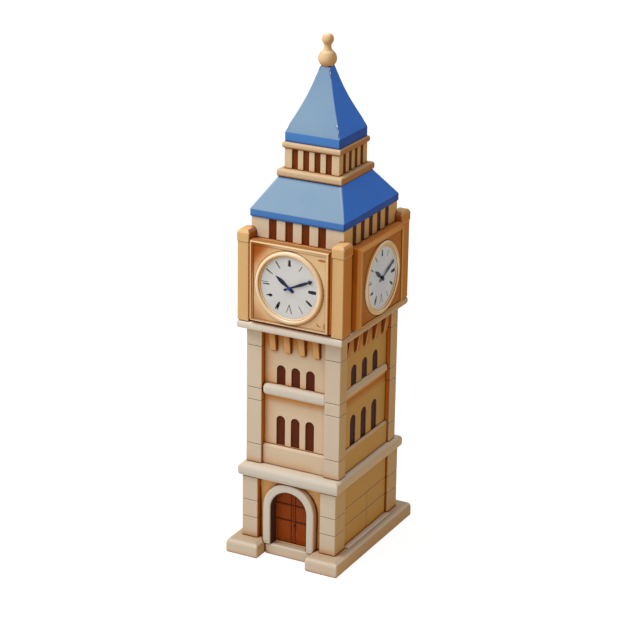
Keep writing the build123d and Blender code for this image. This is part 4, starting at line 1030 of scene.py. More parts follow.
@dataclass
class Course:
    """A rounded course that runs right round the tower.

    Args:
        node: the construction node of the course.
        inner_x: half the width of its inner side.
        inner_y: half the depth of its inner side.
        roll: radius of its rounds.
        corner: radius of its corners in plan.
        finish: which finish it takes.
    """

    node: str
    inner_x: float
    inner_y: float
    roll: float
    corner: float
    finish: str = "moulding"

    def build(self) -> None:
        """Roll the course's outline up as a closed ring."""
        box = Box.of(self.node)
        rows = [levelled(rounded_outline(rectangle(box.half_x, box.half_y), self.corner, grow=out), height)
                for out, height in bullnose(box.foot, box.head, self.roll)]
        inside = rounded_outline(rectangle(self.inner_x, self.inner_y), 0.01)
        rows += [levelled(inside, height) for height in (box.head, box.foot)]
        shell = grid_shell(np.array(rows), wrap_rows=True, wrap_columns=True)
        make_piece(f"{self.node}_moulding", shell, self.finish, replaces=[self.node])


@dataclass
class GroundWalls:
    """Coursed walls of the ground storey, with stones that meet in soft joints.

    Args:
        course_tops: heights of the joints above the foot.
        ease: radius of the stones' edges.
    """

    course_tops: tuple[float, ...] = (0.92, 1.71)
    ease: float = 0.042

    def stones(self, node: str, face: Face, breaks: Sequence[Sequence[float]]) -> None:
        """Lay one wall in courses.

        Args:
            node: the wall's construction node.
            face: the face it stands on.
            breaks: for each course, where its upright joints stand, as shares of the wall's length.
        """
        box = Box.of(node)
        axis = 0 if face.endwise else 1
        levels = [box.foot, *(box.foot + top for top in self.course_tops if box.foot + top < box.head - 0.1), box.head]
        stones = []
        for course, (low, high) in enumerate(zip(levels, levels[1:])):
            shares = [0.0, *breaks[course % len(breaks)], 1.0]
            along = [box.low[axis] + share * (box.high[axis] - box.low[axis]) for share in shares]
            for start, finish in zip(along, along[1:]):
                near, far = box.low.copy(), box.high.copy()
                near[axis], far[axis], near[2], far[2] = start + JOINT, finish - JOINT, low + JOINT, high - JOINT
                stones.append(rounded_block(near, far, self.ease))
        make_piece(f"{node}_stones", joined(stones), "course", replaces=[node])

    def gate_wall(self) -> None:
        """Dress the three parts of the front wall, which stay plain, as the construction model has them."""
        for node in ("ground_wall_front_left", "ground_wall_front_right", "ground_wall_front_head"):
            FINISH.dress_node(node, "gate")

    def build(self) -> None:
        """Lay every wall of the storey."""
        long_wall = ((0.56,), (0.56,), ())
        self.stones("ground_wall_right", Face.RIGHT, long_wall)
        self.stones("ground_wall_left", Face.LEFT, long_wall)
        self.stones("ground_wall_back", Face.BACK, ((0.38,), (0.38,), ()))
        self.gate_wall()


@dataclass
class Doorway:
    """Rounded arched surround with the plate behind it, the dark lining of the arch, and the two leaves in it.

    Shapes are in face coordinates of the front, whose outward distance is minus Y.

    Args:
        opening: half the width of the opening, and radius of its arch.
        spring: height at which the arch begins.
        band: width of the surround.
        roll: radius of its edges.
        lining: how far the plate reaches in from the wall.
        board: how far the lining reaches into the opening, and into the stone.
        arc_steps: divisions of the arch.
    """

    opening: float = 0.86
    spring: float = 2.215
    band: float = 0.365
    roll: float = 0.075
    lining: float = 0.195
    board: tuple[float, float] = (0.014, 0.004)
    arc_steps: int = 40

    @property
    def wall(self) -> float:
        """How far out the gate wall stands."""
        return -float(Box.of("ground_wall_front_left").low[1])

    @property
    def angles(self) -> Array:
        """Angles from the arch's left springing round to its right."""
        return np.linspace(math.pi, 0, self.arc_steps + 1)

    def edge(self, radius: float, foot: float) -> Array:
        """Points across and up: up the left jamb, round the arch at a radius, and down the right jamb."""
        arch = np.column_stack([radius * np.cos(self.angles), self.spring + radius * np.sin(self.angles)])
        return np.vstack([[(-radius, foot)], arch, [(radius, foot)]])

    def surround(self) -> Shell:
        """Section carried up one jamb, round the arch and down the other.

        The path is the opening's edge. Each of its points carries the section: across the band along the path's
        normal, and out of the wall.
        """
        box = Box.of("door_surround")
        path, seat = self.edge(self.opening, box.foot), -float(box.low[1]) - self.roll
        normal = np.column_stack([np.cos(self.angles), np.sin(self.angles)])
        normals = np.vstack([[(-1.0, 0.0)], normal, [(1.0, 0.0)]])
        quarter = np.linspace(0, math.pi / 2, ROUND_STEPS)
        section = [(0.0, self.wall), (self.band, self.wall)]
        section += [(self.band - self.roll + self.roll * math.cos(a), seat + self.roll * math.sin(a)) for a in quarter]
        section += [(self.roll - self.roll * math.sin(a), seat + self.roll * math.cos(a)) for a in quarter]
        rows = [[(px + nx * a, pz + nz * a, o) for a, o in section] for (px, pz), (nx, nz) in zip(path, normals)]
        return capped(np.array(rows))

    def reveal(self) -> Shell:
        """Thin dark lining, grained like timber, over the arch's reveal from the leaves out to the band."""
        box = Box.of("door_surround")
        face, leaf = -float(box.low[1]) - self.roll * 0.6, -float(box.high[1])
        near, far = self.opening - self.board[0], self.opening + self.board[1]
        rings = [levelled(self.edge(radius, box.foot + 0.002), out)
                 for radius, out in ((near, face), (far, face), (far, leaf), (near, leaf))]
        return inside_out(capped(np.array(rings).transpose(1, 0, 2)))

    def lining_plate(self) -> Shell:
        """Flat rebate behind the band: the arch's edge at one side, the swing bay's outline at the other.

        The bay is square, so the plate's upper corners show beyond the round band, a millimetre proud of the wall.
        """
        foot, bay = Box.of("door_surround").foot, Box.of("ground_wall_front_head")
        reach = np.array([np.cos(self.angles), np.sin(self.angles)])
        grow = np.minimum(bay.half_x / np.maximum(abs(reach[0]), 1e-6),
                          (bay.foot - self.spring) / np.maximum(reach[1], 1e-6))
        inner, outer = self.edge(self.opening, foot), np.column_stack([grow * reach[0], self.spring + grow * reach[1]])
        outer = np.vstack([[(-bay.half_x, foot)], outer, [(bay.half_x, foot)]])
        near, far = self.wall + 0.001, self.wall - self.lining
        ring = ((inner, near), (outer, near), (outer, far), (inner, far))
        rows = np.array([levelled(edge, out) for edge, out in ring])
        return inside_out(capped(rows.transpose(1, 0, 2)))

    def streaks(self) -> Shell:
        """Painted shadows on the gate wall: down the right of the arch, and beside the left pier."""
        low, high = self.wall - 0.01, self.wall + 0.003
        outer = self.opening + self.band + 0.02
        turn = np.radians(np.linspace(52, 0, 9))
        bend = np.column_stack([outer * np.cos(turn), self.spring + outer * np.sin(turn)])
        foot = Box.of("door_surround").foot
        jamb = np.column_stack([np.full(5, outer), np.linspace(self.spring - 0.3, foot + 0.05, 5)])
        arch_widths = [0.02, 0.05, 0.08, 0.09, 0.09, 0.10, 0.10, 0.10, 0.09, 0.09, 0.08, 0.06, 0.05, 0.04]
        pier_widths = [0.03, 0.06, 0.09, 0.10, 0.10, 0.10, 0.09]
        pier = Box.of("ground_piers").half_x - GROUND_PIER[0] - 0.03
        drop = np.column_stack([np.full(7, -pier), np.linspace(self.spring + 0.75, foot + 0.02, 7)])
        return joined([ribbon(np.vstack([bend, jamb]), arch_widths, low, high), ribbon(drop, pier_widths, low, high)])

    def build(self) -> None:
        """Make the surround and dress the leaves and hinges."""
        # painted shadows beside the arch and the left pier
        make_piece("gate_wall_painted_shadows", Face.FRONT.place(self.streaks()), "painted_shadow")
        shell = joined([Face.FRONT.place(self.surround()), Face.FRONT.place(self.lining_plate())])
        make_piece("door_arch_stone", shell, "moulding", replaces=["door_surround"])
        make_piece("door_arch_lining", Face.FRONT.place(self.reveal()), "lining")
        for node in ("door_leaf_left", "door_leaf_right"):
            FINISH.dress_node(node, "door")
        FINISH.dress_node("door_pintles", "iron")


# ------------------------------------------------------------------------------------------------ shaft
@dataclass
class Shaft:
    """Recessed walls of the shaft with their aprons, sill bands and corbels.

    Args:
        across_front: half the width between the piers, front and back.
        across_side: the same on the sides.
        apron_proud: how far an apron stands out of the wall.
        apron_front: height of its head over the string course, front and back.
        apron_side: the same on the sides.
        band_front: heights of a sill band's foot and head over the string course, front and back.
        band_side: the same on the sides.
        band_roll: radius of a band's edges.
        band_seat: how far a band reaches into the wall.
        band_key: how far a front or back band reaches into the right pier.
        corbel_half: half the width of a corbel.
        corbel_total: its height.
        corbel_head: its depth at the head.
        corbel_foot: its depth at the foot.
        corbel_tip: share of its height over which the foot is rounded.
        front_corbels: how many the front and the back have, and how far apart.
        side_corbels: the same on the sides.
    """

    across_front: float = 1.49
    across_side: float = 2.066
    apron_proud: float = 0.125
    apron_front: float = 0.90
    apron_side: float = 0.99
    band_front: tuple[float, float] = (3.17, 3.67)
    band_side: tuple[float, float] = (3.30, 3.69)
    band_roll: float = 0.19
    band_seat: float = 0.22
    band_key: float = 0.12
    corbel_half: float = 0.15
    corbel_total: float = 0.955
    corbel_head: float = 0.27
    corbel_foot: float = 0.115
    corbel_tip: float = 0.09
    front_corbels: tuple[int, float] = (4, 0.68)
    side_corbels: tuple[int, float] = (5, 0.85)

    def across(self, face: Face) -> float:
        """Half the width between the piers on a face."""
        return self.across_front if face.endwise else self.across_side

    def aprons(self) -> None:
        """Raised panels under the lower windows, with a weathered top."""
        shells = []
        string = Box.of("string_course")
        for face in Face:
            out, proud = face.wall("shaft"), self.apron_proud
            low, head = string.head, string.head + (self.apron_front if face.endwise else self.apron_side)
            corners = [(low, out), (low, out + proud), (head - 0.075, out + proud), (head, out + 0.05), (head, out)]
            section = rounded_outline([(o, u) for u, o in corners][::-1], 0.012, 3)[:, ::-1].tolist()
            shells.append(face.place(extruded(section, -self.across(face), self.across(face))))
        make_piece("window_apron_stones", joined(shells), "apron", replaces=["window_aprons"])

    def bands(self) -> None:
        """Rounded sill bands under the upper windows."""
        box = Box.of("sill_bands")
        string = Box.of("string_course")
        shells = []
        for face in Face:
            wall = face.wall("shaft")
            low, high = (string.head + rise for rise in (self.band_front if face.endwise else self.band_side))
            reach, out = self.across(face), box.half(face)
            keyed = self.band_key if face.endwise else 0.0
            shell = rounded_block((-reach, low, wall - self.band_seat), (reach + keyed, high, out), self.band_roll, 6)
            shells.append(face.place(shell))
        make_piece("sill_band_mouldings", joined(shells), "moulding", replaces=["sill_bands"])

    def corbel(self, wall: float, head: float, centre: float) -> Shell:
        """One corbel: rounded outlines joined down its height, leaning in from a deep head to a rounded foot.

        With t running from 0 at the foot to 1 at the head, the depth runs straight from the foot's to the head's, and
        the last part of the foot shrinks like a quarter circle.
        """
        rows = []
        for t in np.concatenate([[0.0, 0.006, 0.018, 0.035, 0.06, 0.085], np.linspace(0.12, 1.0, 8)]):
            tip = math.sqrt(max(0.0, 1 - (1 - min(t / self.corbel_tip, 1.0)) ** 2))
            depth = (self.corbel_foot + (self.corbel_head - self.corbel_foot) * t) * (0.45 + 0.55 * tip)
            half = self.corbel_half * (0.62 + 0.38 * tip)
            corners = [(-half, -0.02), (half, -0.02), (half, depth), (-half, depth)]
            outline = rounded_outline(corners, 0.035 * (0.4 + 0.6 * tip), 3)
            up = np.full(len(outline), head - self.corbel_total * (1 - t))
            rows.append(np.column_stack([outline[:, 0] + centre, up, wall + outline[:, 1]]))
        return inside_out(capped(np.array(rows)))

    def corbels(self) -> None:
        """Rows of corbels under the clock stage."""
        head = Box.of("corbels").head
        shells = []
        for face in Face:
            wall = face.wall("shaft")
            count, pitch = self.front_corbels if face.endwise else self.side_corbels
            centres = [(index - (count - 1) / 2) * pitch for index in range(count)]
            shells += [face.place(self.corbel(wall, head, centre)) for centre in centres]
        make_piece("corbel_stones", joined(shells), "corbel", replaces=["corbels"])

    def build(self) -> None:
        """Dress the walls and make what stands on them."""
        for face in Face:
            FINISH.dress_node(f"shaft_wall_{face.word}", "wall")
        FINISH.dress_node("window_shutters", "shutter")
        self.aprons()
        self.bands()
        self.corbels()


# ------------------------------------------------------------------------------------------------ clock stage
# Pier caps: offset outwards, and height over the cap's foot or head.
CAP_FOOT = ((-0.020, 0.0), (-0.006, 0.006), (0.0, 0.020))
CAP_HEAD = ((0.0, -0.150), (-0.006, -0.128), (-0.022, -0.104), (-0.082, -0.030), (-0.106, -0.009), (-0.132, 0.0))
# Strokes: start across and up, finish across and up, then the widths along the stroke.
HOUR_MARKS = (
    (0.0, 0.94, 0.0, 1.21, 0.140, 0.110, 0.090),
    (0.88, 0.00, 1.24, 0.00, 0.110, 0.150, 0.140),
    (0.78, -0.40, 1.05, -0.60, 0.060, 0.105, 0.085),
    (-0.44, -0.67, -0.54, -0.88, 0.070, 0.150),
    (-0.52, -0.82, -0.655, -1.01, 0.105, 0.026),
    (-0.49, -0.82, -0.567, -1.04, 0.090, 0.024),
    (-1.08, -0.46, -0.78, -0.43, 0.016, 0.050, 0.150, 0.060),
    (-1.22, 0.02, -0.92, 0.02, 0.044, 0.050),
    (-1.08, 0.67, -0.77, 0.48, 0.046, 0.052, 0.030),
    (-0.64, 1.065, -0.43, 0.785, 0.054, 0.052, 0.036),
)
FAINT_MARKS = (
    (0.444, 0.80, 0.59, 1.03, 0.036, 0.044),
    (0.447, -0.70, 0.636, -1.00, 0.028, 0.040),
    (0.012, -0.716, -0.13, -1.08, 0.040, 0.034),
    (0.012, -0.716, 0.12, -1.10, 0.040, 0.052),
    (-1.28, 0.11, -0.98, 0.11, 0.028, 0.030),
)
# Borders: share of the way from the outer outline (0) to the inner one (1), and height over the plate.
FLAT_BORDER = ((0.0, 0.010), (0.05, 0.036), (0.14, 0.052), (0.28, 0.060), (0.46, 0.058), (0.56, 0.044), (0.62, 0.034),
               (0.72, 0.036), (0.82, 0.034), (0.91, 0.020), (0.97, -0.010))
BEVELLED_BORDER = ((0.0, -0.095), (0.05, -0.070), (0.34, 0.030), (0.42, 0.050), (0.56, 0.060), (0.72, 0.056),
                   (0.82, 0.040), (0.92, 0.022), (0.97, -0.010))
# Painted shadows beside the bezels and at the frames' corners: start across and up, finish across and up, then the
# widths along the stroke.
PAINTED_SHADOWS = (
    (1.30, 1.43, 1.64, 1.43, 0.03, 0.10, 0.06),
    (1.28, -1.28, 1.34, -1.40, 0.02, 0.05),
    (1.32, -1.39, 1.46, -1.43, 0.05, 0.03),
    (1.62, -1.25, 1.62, -1.50, 0.03, 0.05, 0.045),
)
# Hands: stations along them, and half the width at each.
HOUR_HAND = ((-0.25, 0.060), (-0.17, 0.085), (-0.06, 0.060), (0.12, 0.048), (0.34, 0.095), (0.52, 0.088), (0.66, 0.045),
             (0.772, 0.010))
MINUTE_HAND = ((-0.25, 0.045), (-0.17, 0.052), (0.0, 0.030), (0.30, 0.042), (0.62, 0.068), (0.88, 0.052),
               (0.99, 0.036), (1.01, 0.095), (1.06, 0.085), (1.184, 0.014))
# Turned parts: radius, and height over the frame's plate.
DIAL_PLATE = ((1.33, -0.02), (1.33, 0.004), (0.62, 0.004), (0.60, 0.0035), (0.05, 0.0035))
PIN_CAP = ((0.04, 0.002), (0.04, 0.088), (0.06, 0.088), (0.06, 0.104), (0.03, 0.112))
# Pieces that gather a shell from each face: name, finish and the construction nodes that each replaces.
STAGE_PIECES = (
    ("dial_frame_stones", "frame", ("clock_frames",)), ("side_dial_frame_stones", "side_frame", ()),
    ("dial_frame_beads", "bead", ()), ("side_dial_frame_beads", "side_bead", ()), ("frame_fillets", "fillet", ()),
    ("dial_bezel_rings", "bezel", ("clock_bezels",)), ("dial_plates", "dial", ("clock_dials",)),
    ("dial_pins", "hub", ()), ("side_dial_pins", "hand", ()), ("dial_hour_marks", "mark", ()),
    ("dial_faint_marks", "faint", ()), ("frame_corner_painted_shadows", "corner_shadow", ()),
)


@dataclass(frozen=True)
class Hand:
    """One hand of a dial, pointing up in face coordinates with its pin at the origin.

    Args:
        name: as the construction nodes spell it.
        shape: stations along the hand and its half width at each.
        sides: how many sides its boss has.
        radius: radius of the boss.
        level: height of its back over the frame.
        angle: degrees clockwise at which it stands at rest.
    """

    name: str
    shape: tuple[tuple[float, float], ...]
    sides: int
    radius: float
    level: float
    angle: float

    def blade(self, out: float) -> Shell:
        """Blade with a ridge down the middle: a ring of left edge, back, right edge and ridge at each station."""
        out += self.level
        along, wide = np.array(self.shape, float).T
        stations = np.unique(np.concatenate([along, np.linspace(along[0], along[-1], 25)]))
        half, zeros = np.interp(stations, along, wide), np.zeros_like(stations)
        rings = [np.stack([across, stations, zeros + level], axis=1)
                 for across, level in ((-half, out + 0.008), (zeros, out), (half, out + 0.008), (zeros, out + 0.020))]
        return inside_out(capped(np.stack(rings, axis=1))).turned_in_face(self.angle)

    def boss(self, out: float) -> Shell:
        """Raised centre, bored for the pin."""
        out += self.level
        profile = [(0.0405, out), (self.radius * 0.8, out), (self.radius, out + 0.004), (self.radius, out + 0.016),
                   (self.radius * 0.8, out + 0.020), (0.0405, out + 0.020)]
        return revolved(profile, self.sides, ring=True).turned_in_face(self.angle)


HANDS = (Hand("hour", HOUR_HAND, 24, 0.07, 0.012, 305.5), Hand("minute", MINUTE_HAND, 4, 0.115, 0.044, 66.0))


@dataclass
class ClockStage:
    """Corner piers, dial frames, bezels, dials and hands.

    Args:
        pier_x: width of a pier along X.
        pier_y: width along Y.
        cap_height: height of a pier's cap.
        cap_out: how far it stands out.
        frame_front: half the width of a front or back frame.
        frame_side: half the width of a side frame.
        fillet: width of the fillets beside a frame, and how far they stand out of the wall.
        bezel: inner and outer radius.
        bezel_rises: height of the bezel's lip over the frame's plate, and of its crest over the lip.
        depth_front: how far a front or back frame's plate stands out of the wall.
        depth_side: the same for a side frame.
        border: width of the border beside the plate, front and back.
        border_side: the same on the sides.
        border_foot: its width below the dial.
        border_head: its width above the dial.
        flat_bead: shares of the way across a flat border where its bead starts and ends, the height of the bead's foot
            over the plate, and its rise.
        bevelled_bead: the same on a bevelled border.
    """

    pier_x: float = 0.54
    pier_y: float = 0.77
    cap_height: float = 0.505
    cap_out: float = 0.03
    frame_front: float = 1.825
    frame_side: float = 2.10
    fillet: tuple[float, float] = (0.095, 0.20)
    bezel: tuple[float, float] = (1.32, 1.58)
    bezel_rises: tuple[float, float] = (0.050, 0.070)
    depth_front: float = 0.24
    depth_side: float = 0.34
    border: float = 0.17
    border_side: float = 0.26
    border_foot: float = 0.095
    border_head: float = 0.21
    flat_bead: tuple[float, float, float, float] = (0.12, 0.44, 0.048, 0.026)
    bevelled_bead: tuple[float, float, float, float] = (0.42, 0.96, 0.026, 0.046)

    def piers(self) -> None:
        """Plain piers, each with a soft rounded cap."""
        box = Box.of("clock_piers")
        half_x, half_y = box.half_x - self.cap_out, box.half_y - self.cap_out
        top = box.head - self.cap_height
        profile = [(out, edge + rise) for edge, bends in ((top, CAP_FOOT), (box.head, CAP_HEAD)) for out, rise in bends]
        cap = rolled(rectangle(self.pier_x / 2 + self.cap_out, self.pier_y / 2 + self.cap_out), 0.07, profile)
        stones = []
        for side_x, side_y in CORNERS:
            inner = (side_x * (half_x - self.pier_x), side_y * (half_y - self.pier_y))
            outer = (side_x * half_x, side_y * half_y)
            stones.append(rounded_block((*inner, box.foot), (*outer, top + 0.03), 0.045))
            stones.append(cap.moved(side_x * (half_x - self.pier_x / 2), side_y * (half_y - self.pier_y / 2)))
        make_piece("clock_pier_stones", joined(stones), "clock", replaces=["clock_piers"])

    def outlines(self, face: Face, half: float, rise: float) -> tuple[Array, Array]:
        """Outer and inner outlines of a frame's border, about the frame's middle height."""
        side = self.border if face.endwise else self.border_side
        inner = [(-half + side, -rise + self.border_foot), (half - side, -rise + self.border_foot),
                 (half - side, rise - self.border_head), (-half + side, rise - self.border_head)]
        return rounded_outline(rectangle(half, rise), 0.02, 3), rounded_outline(inner, 0.02, 3)

    @staticmethod
    def carried(edge: Array, hollow: Array, courses: Iterable[tuple[float, float]]) -> Shell:
        """Closed profile carried round between two outlines.

        Args:
            edge: the outer outline.
            hollow: the inner outline.
            courses: share of the way from outer to inner, and distance out, of each point of the profile.
        """
        rows = [levelled(edge * (1 - t) + hollow * t, out) for t, out in courses]
        return grid_shell(np.array(rows), wrap_rows=True, wrap_columns=True)

    def frame_shell(self, face: Face, half: float, rise: float, wall: float, depth: float) -> Shell:
        """Dial frame about its middle height: a border carried up from the wall, and a plate that it goes round."""
        edge, hollow = self.outlines(face, half, rise)
        border = FLAT_BORDER if face.endwise else BEVELLED_BORDER
        level = wall + depth
        low, high = hollow.min(axis=0) - 0.02, hollow.max(axis=0) + 0.02
        plate = rounded_block((*low, wall), (*high, level), 0.01)
        courses = [(0.0, level - depth), *((t, level + out) for t, out in border), (1.0, wall)]
        return joined([plate, self.carried(edge, hollow, courses)])

    def bead_shell(self, face: Face, half: float, rise: float, level: float) -> Shell:
        """Half-round bead on the border: a half circle between two shares of the way across it, whose pale finish is a
        painted highlight along the crest.
        """
        start, finish, base, height = self.flat_bead if face.endwise else self.bevelled_bead
        turn = np.linspace(0, math.pi, 7)
        shares = (start + finish) / 2 - (finish - start) / 2 * np.cos(turn)
        courses = [(start, base - 0.02), *zip(shares, base + height * np.sin(turn)), (finish, base - 0.02)]
        return self.carried(*self.outlines(face, half, rise), ((t, level + out) for t, out in courses))

    def fillet_shell(self, half: float, foot: float, head: float, wall: float) -> Shell:
        """Narrow stone fillets that close the slots between a frame and the piers beside it, coloured as the frames'
        shaded returns: painted shade.
        """
        width, proud = self.fillet
        return joined(rounded_block((min(a, b), foot, wall - 0.01), (max(a, b), head - 0.05, wall + proud), 0.02)
                      for a, b in ((-half + 0.01, -half - width), (half - 0.01, half + width)))

    def bezel_shell(self, out: float) -> Shell:
        """Bezel with one broad roll and a low lip round the dial, turned about the dial's centre.

        The roll is two quarter ellipses that meet at its crest, a narrow one within and a broad one without; the lip
        is a quarter ellipse inside them.
        """
        (inner, outer), (low, rise) = self.bezel, self.bezel_rises
        lip, crest = inner + 0.24 * (outer - inner), inner + 0.50 * (outer - inner)
        quarter = np.linspace(0, math.pi / 2, 9)
        profile = [(inner + (lip - inner) * (1 - math.cos(a)), out + low * math.sin(a)) for a in quarter[::2]]
        profile += [(crest - (crest - lip) * math.cos(a), out + low + rise * math.sin(a)) for a in quarter[1:]]
        profile += [(crest + (outer - crest) * math.sin(a), out + (low + rise) * math.cos(a)) for a in quarter[1:]]
        return revolved(profile[::-1], 128, ring=True)

    @staticmethod
    def marks(table: Sequence[tuple[float, ...]], low: float, high: float) -> Shell:
        """Every stroke of a table: start across and up, finish across and up, then the widths."""
        return joined(ribbon(np.linspace(row[0:2], row[2:4], len(row) - 4), row[4:], low, high) for row in table)

    def build(self) -> None:
        """Make every part of the stage on all four faces."""
        self.piers()
        shells: dict[str, list[Shell]] = {name: [] for name, _, _ in STAGE_PIECES}
        frame_box, dial_box = Box.of("clock_frames"), Box.of("clock_dials")
        foot, head, dial_z = frame_box.foot, frame_box.head, (dial_box.foot + dial_box.head) / 2
        middle, rise = (foot + head) / 2, (head - foot) / 2
        for face in Face:
            wall, side = face.wall("clock"), "" if face.endwise else "side_"
            FINISH.dress_node(f"clock_wall_{face.word}", "clock")
            half, depth = (self.frame_front, self.depth_front) if face.endwise else (self.frame_side, self.depth_side)
            out = wall + depth
            made = {
                f"{side}dial_frame_stones": self.frame_shell(face, half, rise, wall, depth).moved(0, middle),
                f"{side}dial_frame_beads": self.bead_shell(face, half, rise, out).moved(0, middle),
                "dial_bezel_rings": self.bezel_shell(out).moved(0, dial_z),
                "dial_plates": revolved([(radius, out + up) for radius, up in DIAL_PLATE], 96).moved(0, dial_z),
                f"{side}dial_pins": revolved([(radius, out + up) for radius, up in PIN_CAP], 24).moved(0, dial_z),
                "dial_hour_marks": self.marks(HOUR_MARKS, out, out + 0.007).moved(0, dial_z),
                "dial_faint_marks": self.marks(FAINT_MARKS, out, out + 0.0065).moved(0, dial_z),
                "frame_corner_painted_shadows": self.marks(PAINTED_SHADOWS, out - 0.01, out + 0.004).moved(0, dial_z),
            }
            if face.endwise:
                made["frame_fillets"] = self.fillet_shell(half, foot, head, wall)
            for name, shell in made.items():
                shells[name].append(face.place(shell))
            for hand in HANDS:
                node = f"{hand.name}_hand_{face.word}"
                boss_key = "hub" if hand.name == "minute" and face.endwise else "hand"
                make_piece(f"{node}_blade", face.place(hand.blade(out).moved(0, dial_z)), "hand", node, [node])
                make_piece(f"{node}_boss", face.place(hand.boss(out).moved(0, dial_z)), boss_key, node)
        for name, key, replaced in STAGE_PIECES:
            make_piece(name, joined(shells[name]), key, replaces=replaced)


# ------------------------------------------------------------------------------------------------ belfry and roofs
@dataclass
class Colonnade:
    """Posts and corner blocks between rows of openings, as rounded stones.

    Args:
        node: the construction node of the posts.
        name: name of the piece.
        depth: depth of a post.
        front_row: how many openings the front has, how far apart they stand and how wide they are.
        side_row: the same for the sides.
        finish: which finish the posts take.
        ease: radius of the stones' edges.
    """

    node: str
    name: str
    depth: float
    front_row: tuple[int, float, float]
    side_row: tuple[int, float, float]
    finish: str = "post"
    ease: float = 0.02

    def build(self) -> None:
        """Stand the posts and corners."""
        box = Box.of(self.node)
        rows, half = (self.front_row, self.side_row), (box.half_x, box.half_y)
        corner = [(count - 1) / 2 * pitch + gap / 2 for count, pitch, gap in rows]
        stones = [rounded_block((x * corner[0], y * corner[1], box.foot), (x * half[0], y * half[1], box.head),
                                self.ease, 2) for x, y in CORNERS]
        for side in (-1, 1):
            for (count, pitch, gap), out, way in zip(rows, half[::-1], (1, -1)):
                for index in range(count - 1):
                    middle, width = (index - (count - 2) / 2) * pitch, (pitch - gap) / 2
                    near, far = (middle - width, side * (out - self.depth)), (middle + width, side * out)
                    stones.append(rounded_block((*near[::way], box.foot), (*far[::way], box.head), self.ease, 2))
        make_piece(self.name, joined(stones), self.finish, replaces=[self.node])


@dataclass
class Roofs:
    """Lower hipped roof, lantern slabs, swept spire and finial.

    Args:
        hip: radius of the lower roof's hips.
        eaves: height of its fascia.
        soft: how far its eaves' edges are eased.
        slab_roll: radius of the slabs' edges.
        spire_eaves: height of the spire's fascia.
        spire_top: half the width of the spire's top, which is the radius of the finial's seat.
        spire_inset: how far in from its eaves the spire's slope lies at each rise but the last.
        spire_rise: those heights over the fascia.
        high_ball: radius of the finial's upper ball.
        waist: size from which its neck is drawn.
    """

    hip: float = 0.05
    eaves: float = 0.31
    soft: float = 0.02
    slab_roll: float = 0.12
    spire_eaves: float = 0.385
    spire_top: float = 0.226
    spire_inset: tuple[float, ...] = (0.0, 0.246, 0.448, 0.563, 0.727, 0.878)
    spire_rise: tuple[float, ...] = (0.0, 0.587, 1.010, 1.294, 1.720, 2.161)
    high_ball: float = 0.246
    waist: float = 0.152

    def lower_roof(self) -> None:
        """Upright fascia and straight slopes, drawn in from the eaves to a square top."""
        box, lantern = Box.of("lower_roof"), Box.of("lantern_base")
        top_half = lantern.half_x - 0.05
        x, y, foot, head = box.half_x, box.half_y, box.foot, box.head
        slope, soft = foot + self.eaves, self.soft
        levels = [(x - 0.30, y - 0.30, self.hip, foot + 0.012), (x - soft, y - soft, self.hip, foot),
                  (x, y, self.hip, foot + soft), (x, y, self.hip, slope - soft)]
        for t in np.linspace(0.012, 1.0, 14):
            levels.append((x + (top_half - x) * t, y + (top_half - 0.003 - y) * t, self.hip,
                           slope + (head - slope) * t))
        make_piece("lower_roof_slopes", lofted(levels), "roof", replaces=["lower_roof"])

    def slab(self, node: str) -> None:
        """Rounded slab."""
        box = Box.of(node)
        roll = min(self.slab_roll, 0.4 * (box.head - box.foot))
        shell = rolled(rectangle(box.half_x, box.half_y), 0.05, bullnose(box.foot, box.head, roll))
        make_piece(f"{node}_moulding", shell, "tan", replaces=[node])

    def spire(self) -> None:
        """Fascia and four slopes that follow one swept curve."""
        box = Box.of("spire_roof")
        half, foot, head = box.half_x, box.foot, box.head
        eaves = self.spire_eaves
        inset = np.array([*self.spire_inset, half - self.spire_top])
        rise = np.array([*self.spire_rise, head - foot - eaves])
        curve = np.polynomial.Polynomial.fit(rise, inset, 4)
        levels = [(half - 0.25, half - 0.25, 0.03, foot + 0.01), (half - 0.015, half - 0.015, 0.03, foot),
                  (half, half, 0.035, foot + 0.02), (half, half, 0.035, foot + eaves - 0.02)]
        for t in np.linspace(0.01, 1.0, 28):
            up = t * rise[-1]
            across = half - float(curve(up))
            levels.append((across, across, 0.035, foot + eaves + up))
        make_piece("spire_slopes", lofted(levels), "roof", replaces=["spire_roof"])

    def finial(self) -> None:
        """Two balls with a waisted neck, turned about the tower's axis."""
        box = Box.of("finial")
        foot, head = box.foot, box.head
        low_radius, high_radius, seat, waist = box.half_x, self.high_ball, self.spire_top, self.waist
        low_centre, high_centre = foot + math.sqrt(low_radius ** 2 - seat ** 2), head - high_radius
        start = -math.acos(seat / low_radius)
        finish = math.acos(1.35 * waist / low_radius)
        profile = [(low_radius * math.cos(a), low_centre + low_radius * math.sin(a))
                   for a in np.linspace(start, finish, 22)]
        begin = -math.acos(1.15 * waist / high_radius)
        join_low = profile[-1]
        join_high = (high_radius * math.cos(begin), high_centre + high_radius * math.sin(begin))
        for t in np.linspace(0, 1, 10)[1:-1]:
            bow = 1.2 * waist * t * (1 - t)
            profile.append((join_low[0] * (1 - t) + join_high[0] * t - bow, join_low[1] * (1 - t) + join_high[1] * t))
        profile += [(max(high_radius * math.cos(a), 0.0005), high_centre + high_radius * math.sin(a))
                    for a in np.linspace(begin, math.pi / 2, 18)]
        make_piece("finial_turning", revolved(profile, 48), "finial", replaces=["finial"])

    def build(self) -> None:
        """Make the roofs and what stands between them."""
        self.lower_roof()
        self.slab("lantern_base")
        self.slab("lantern_cornice")
        self.spire()
        self.finial()


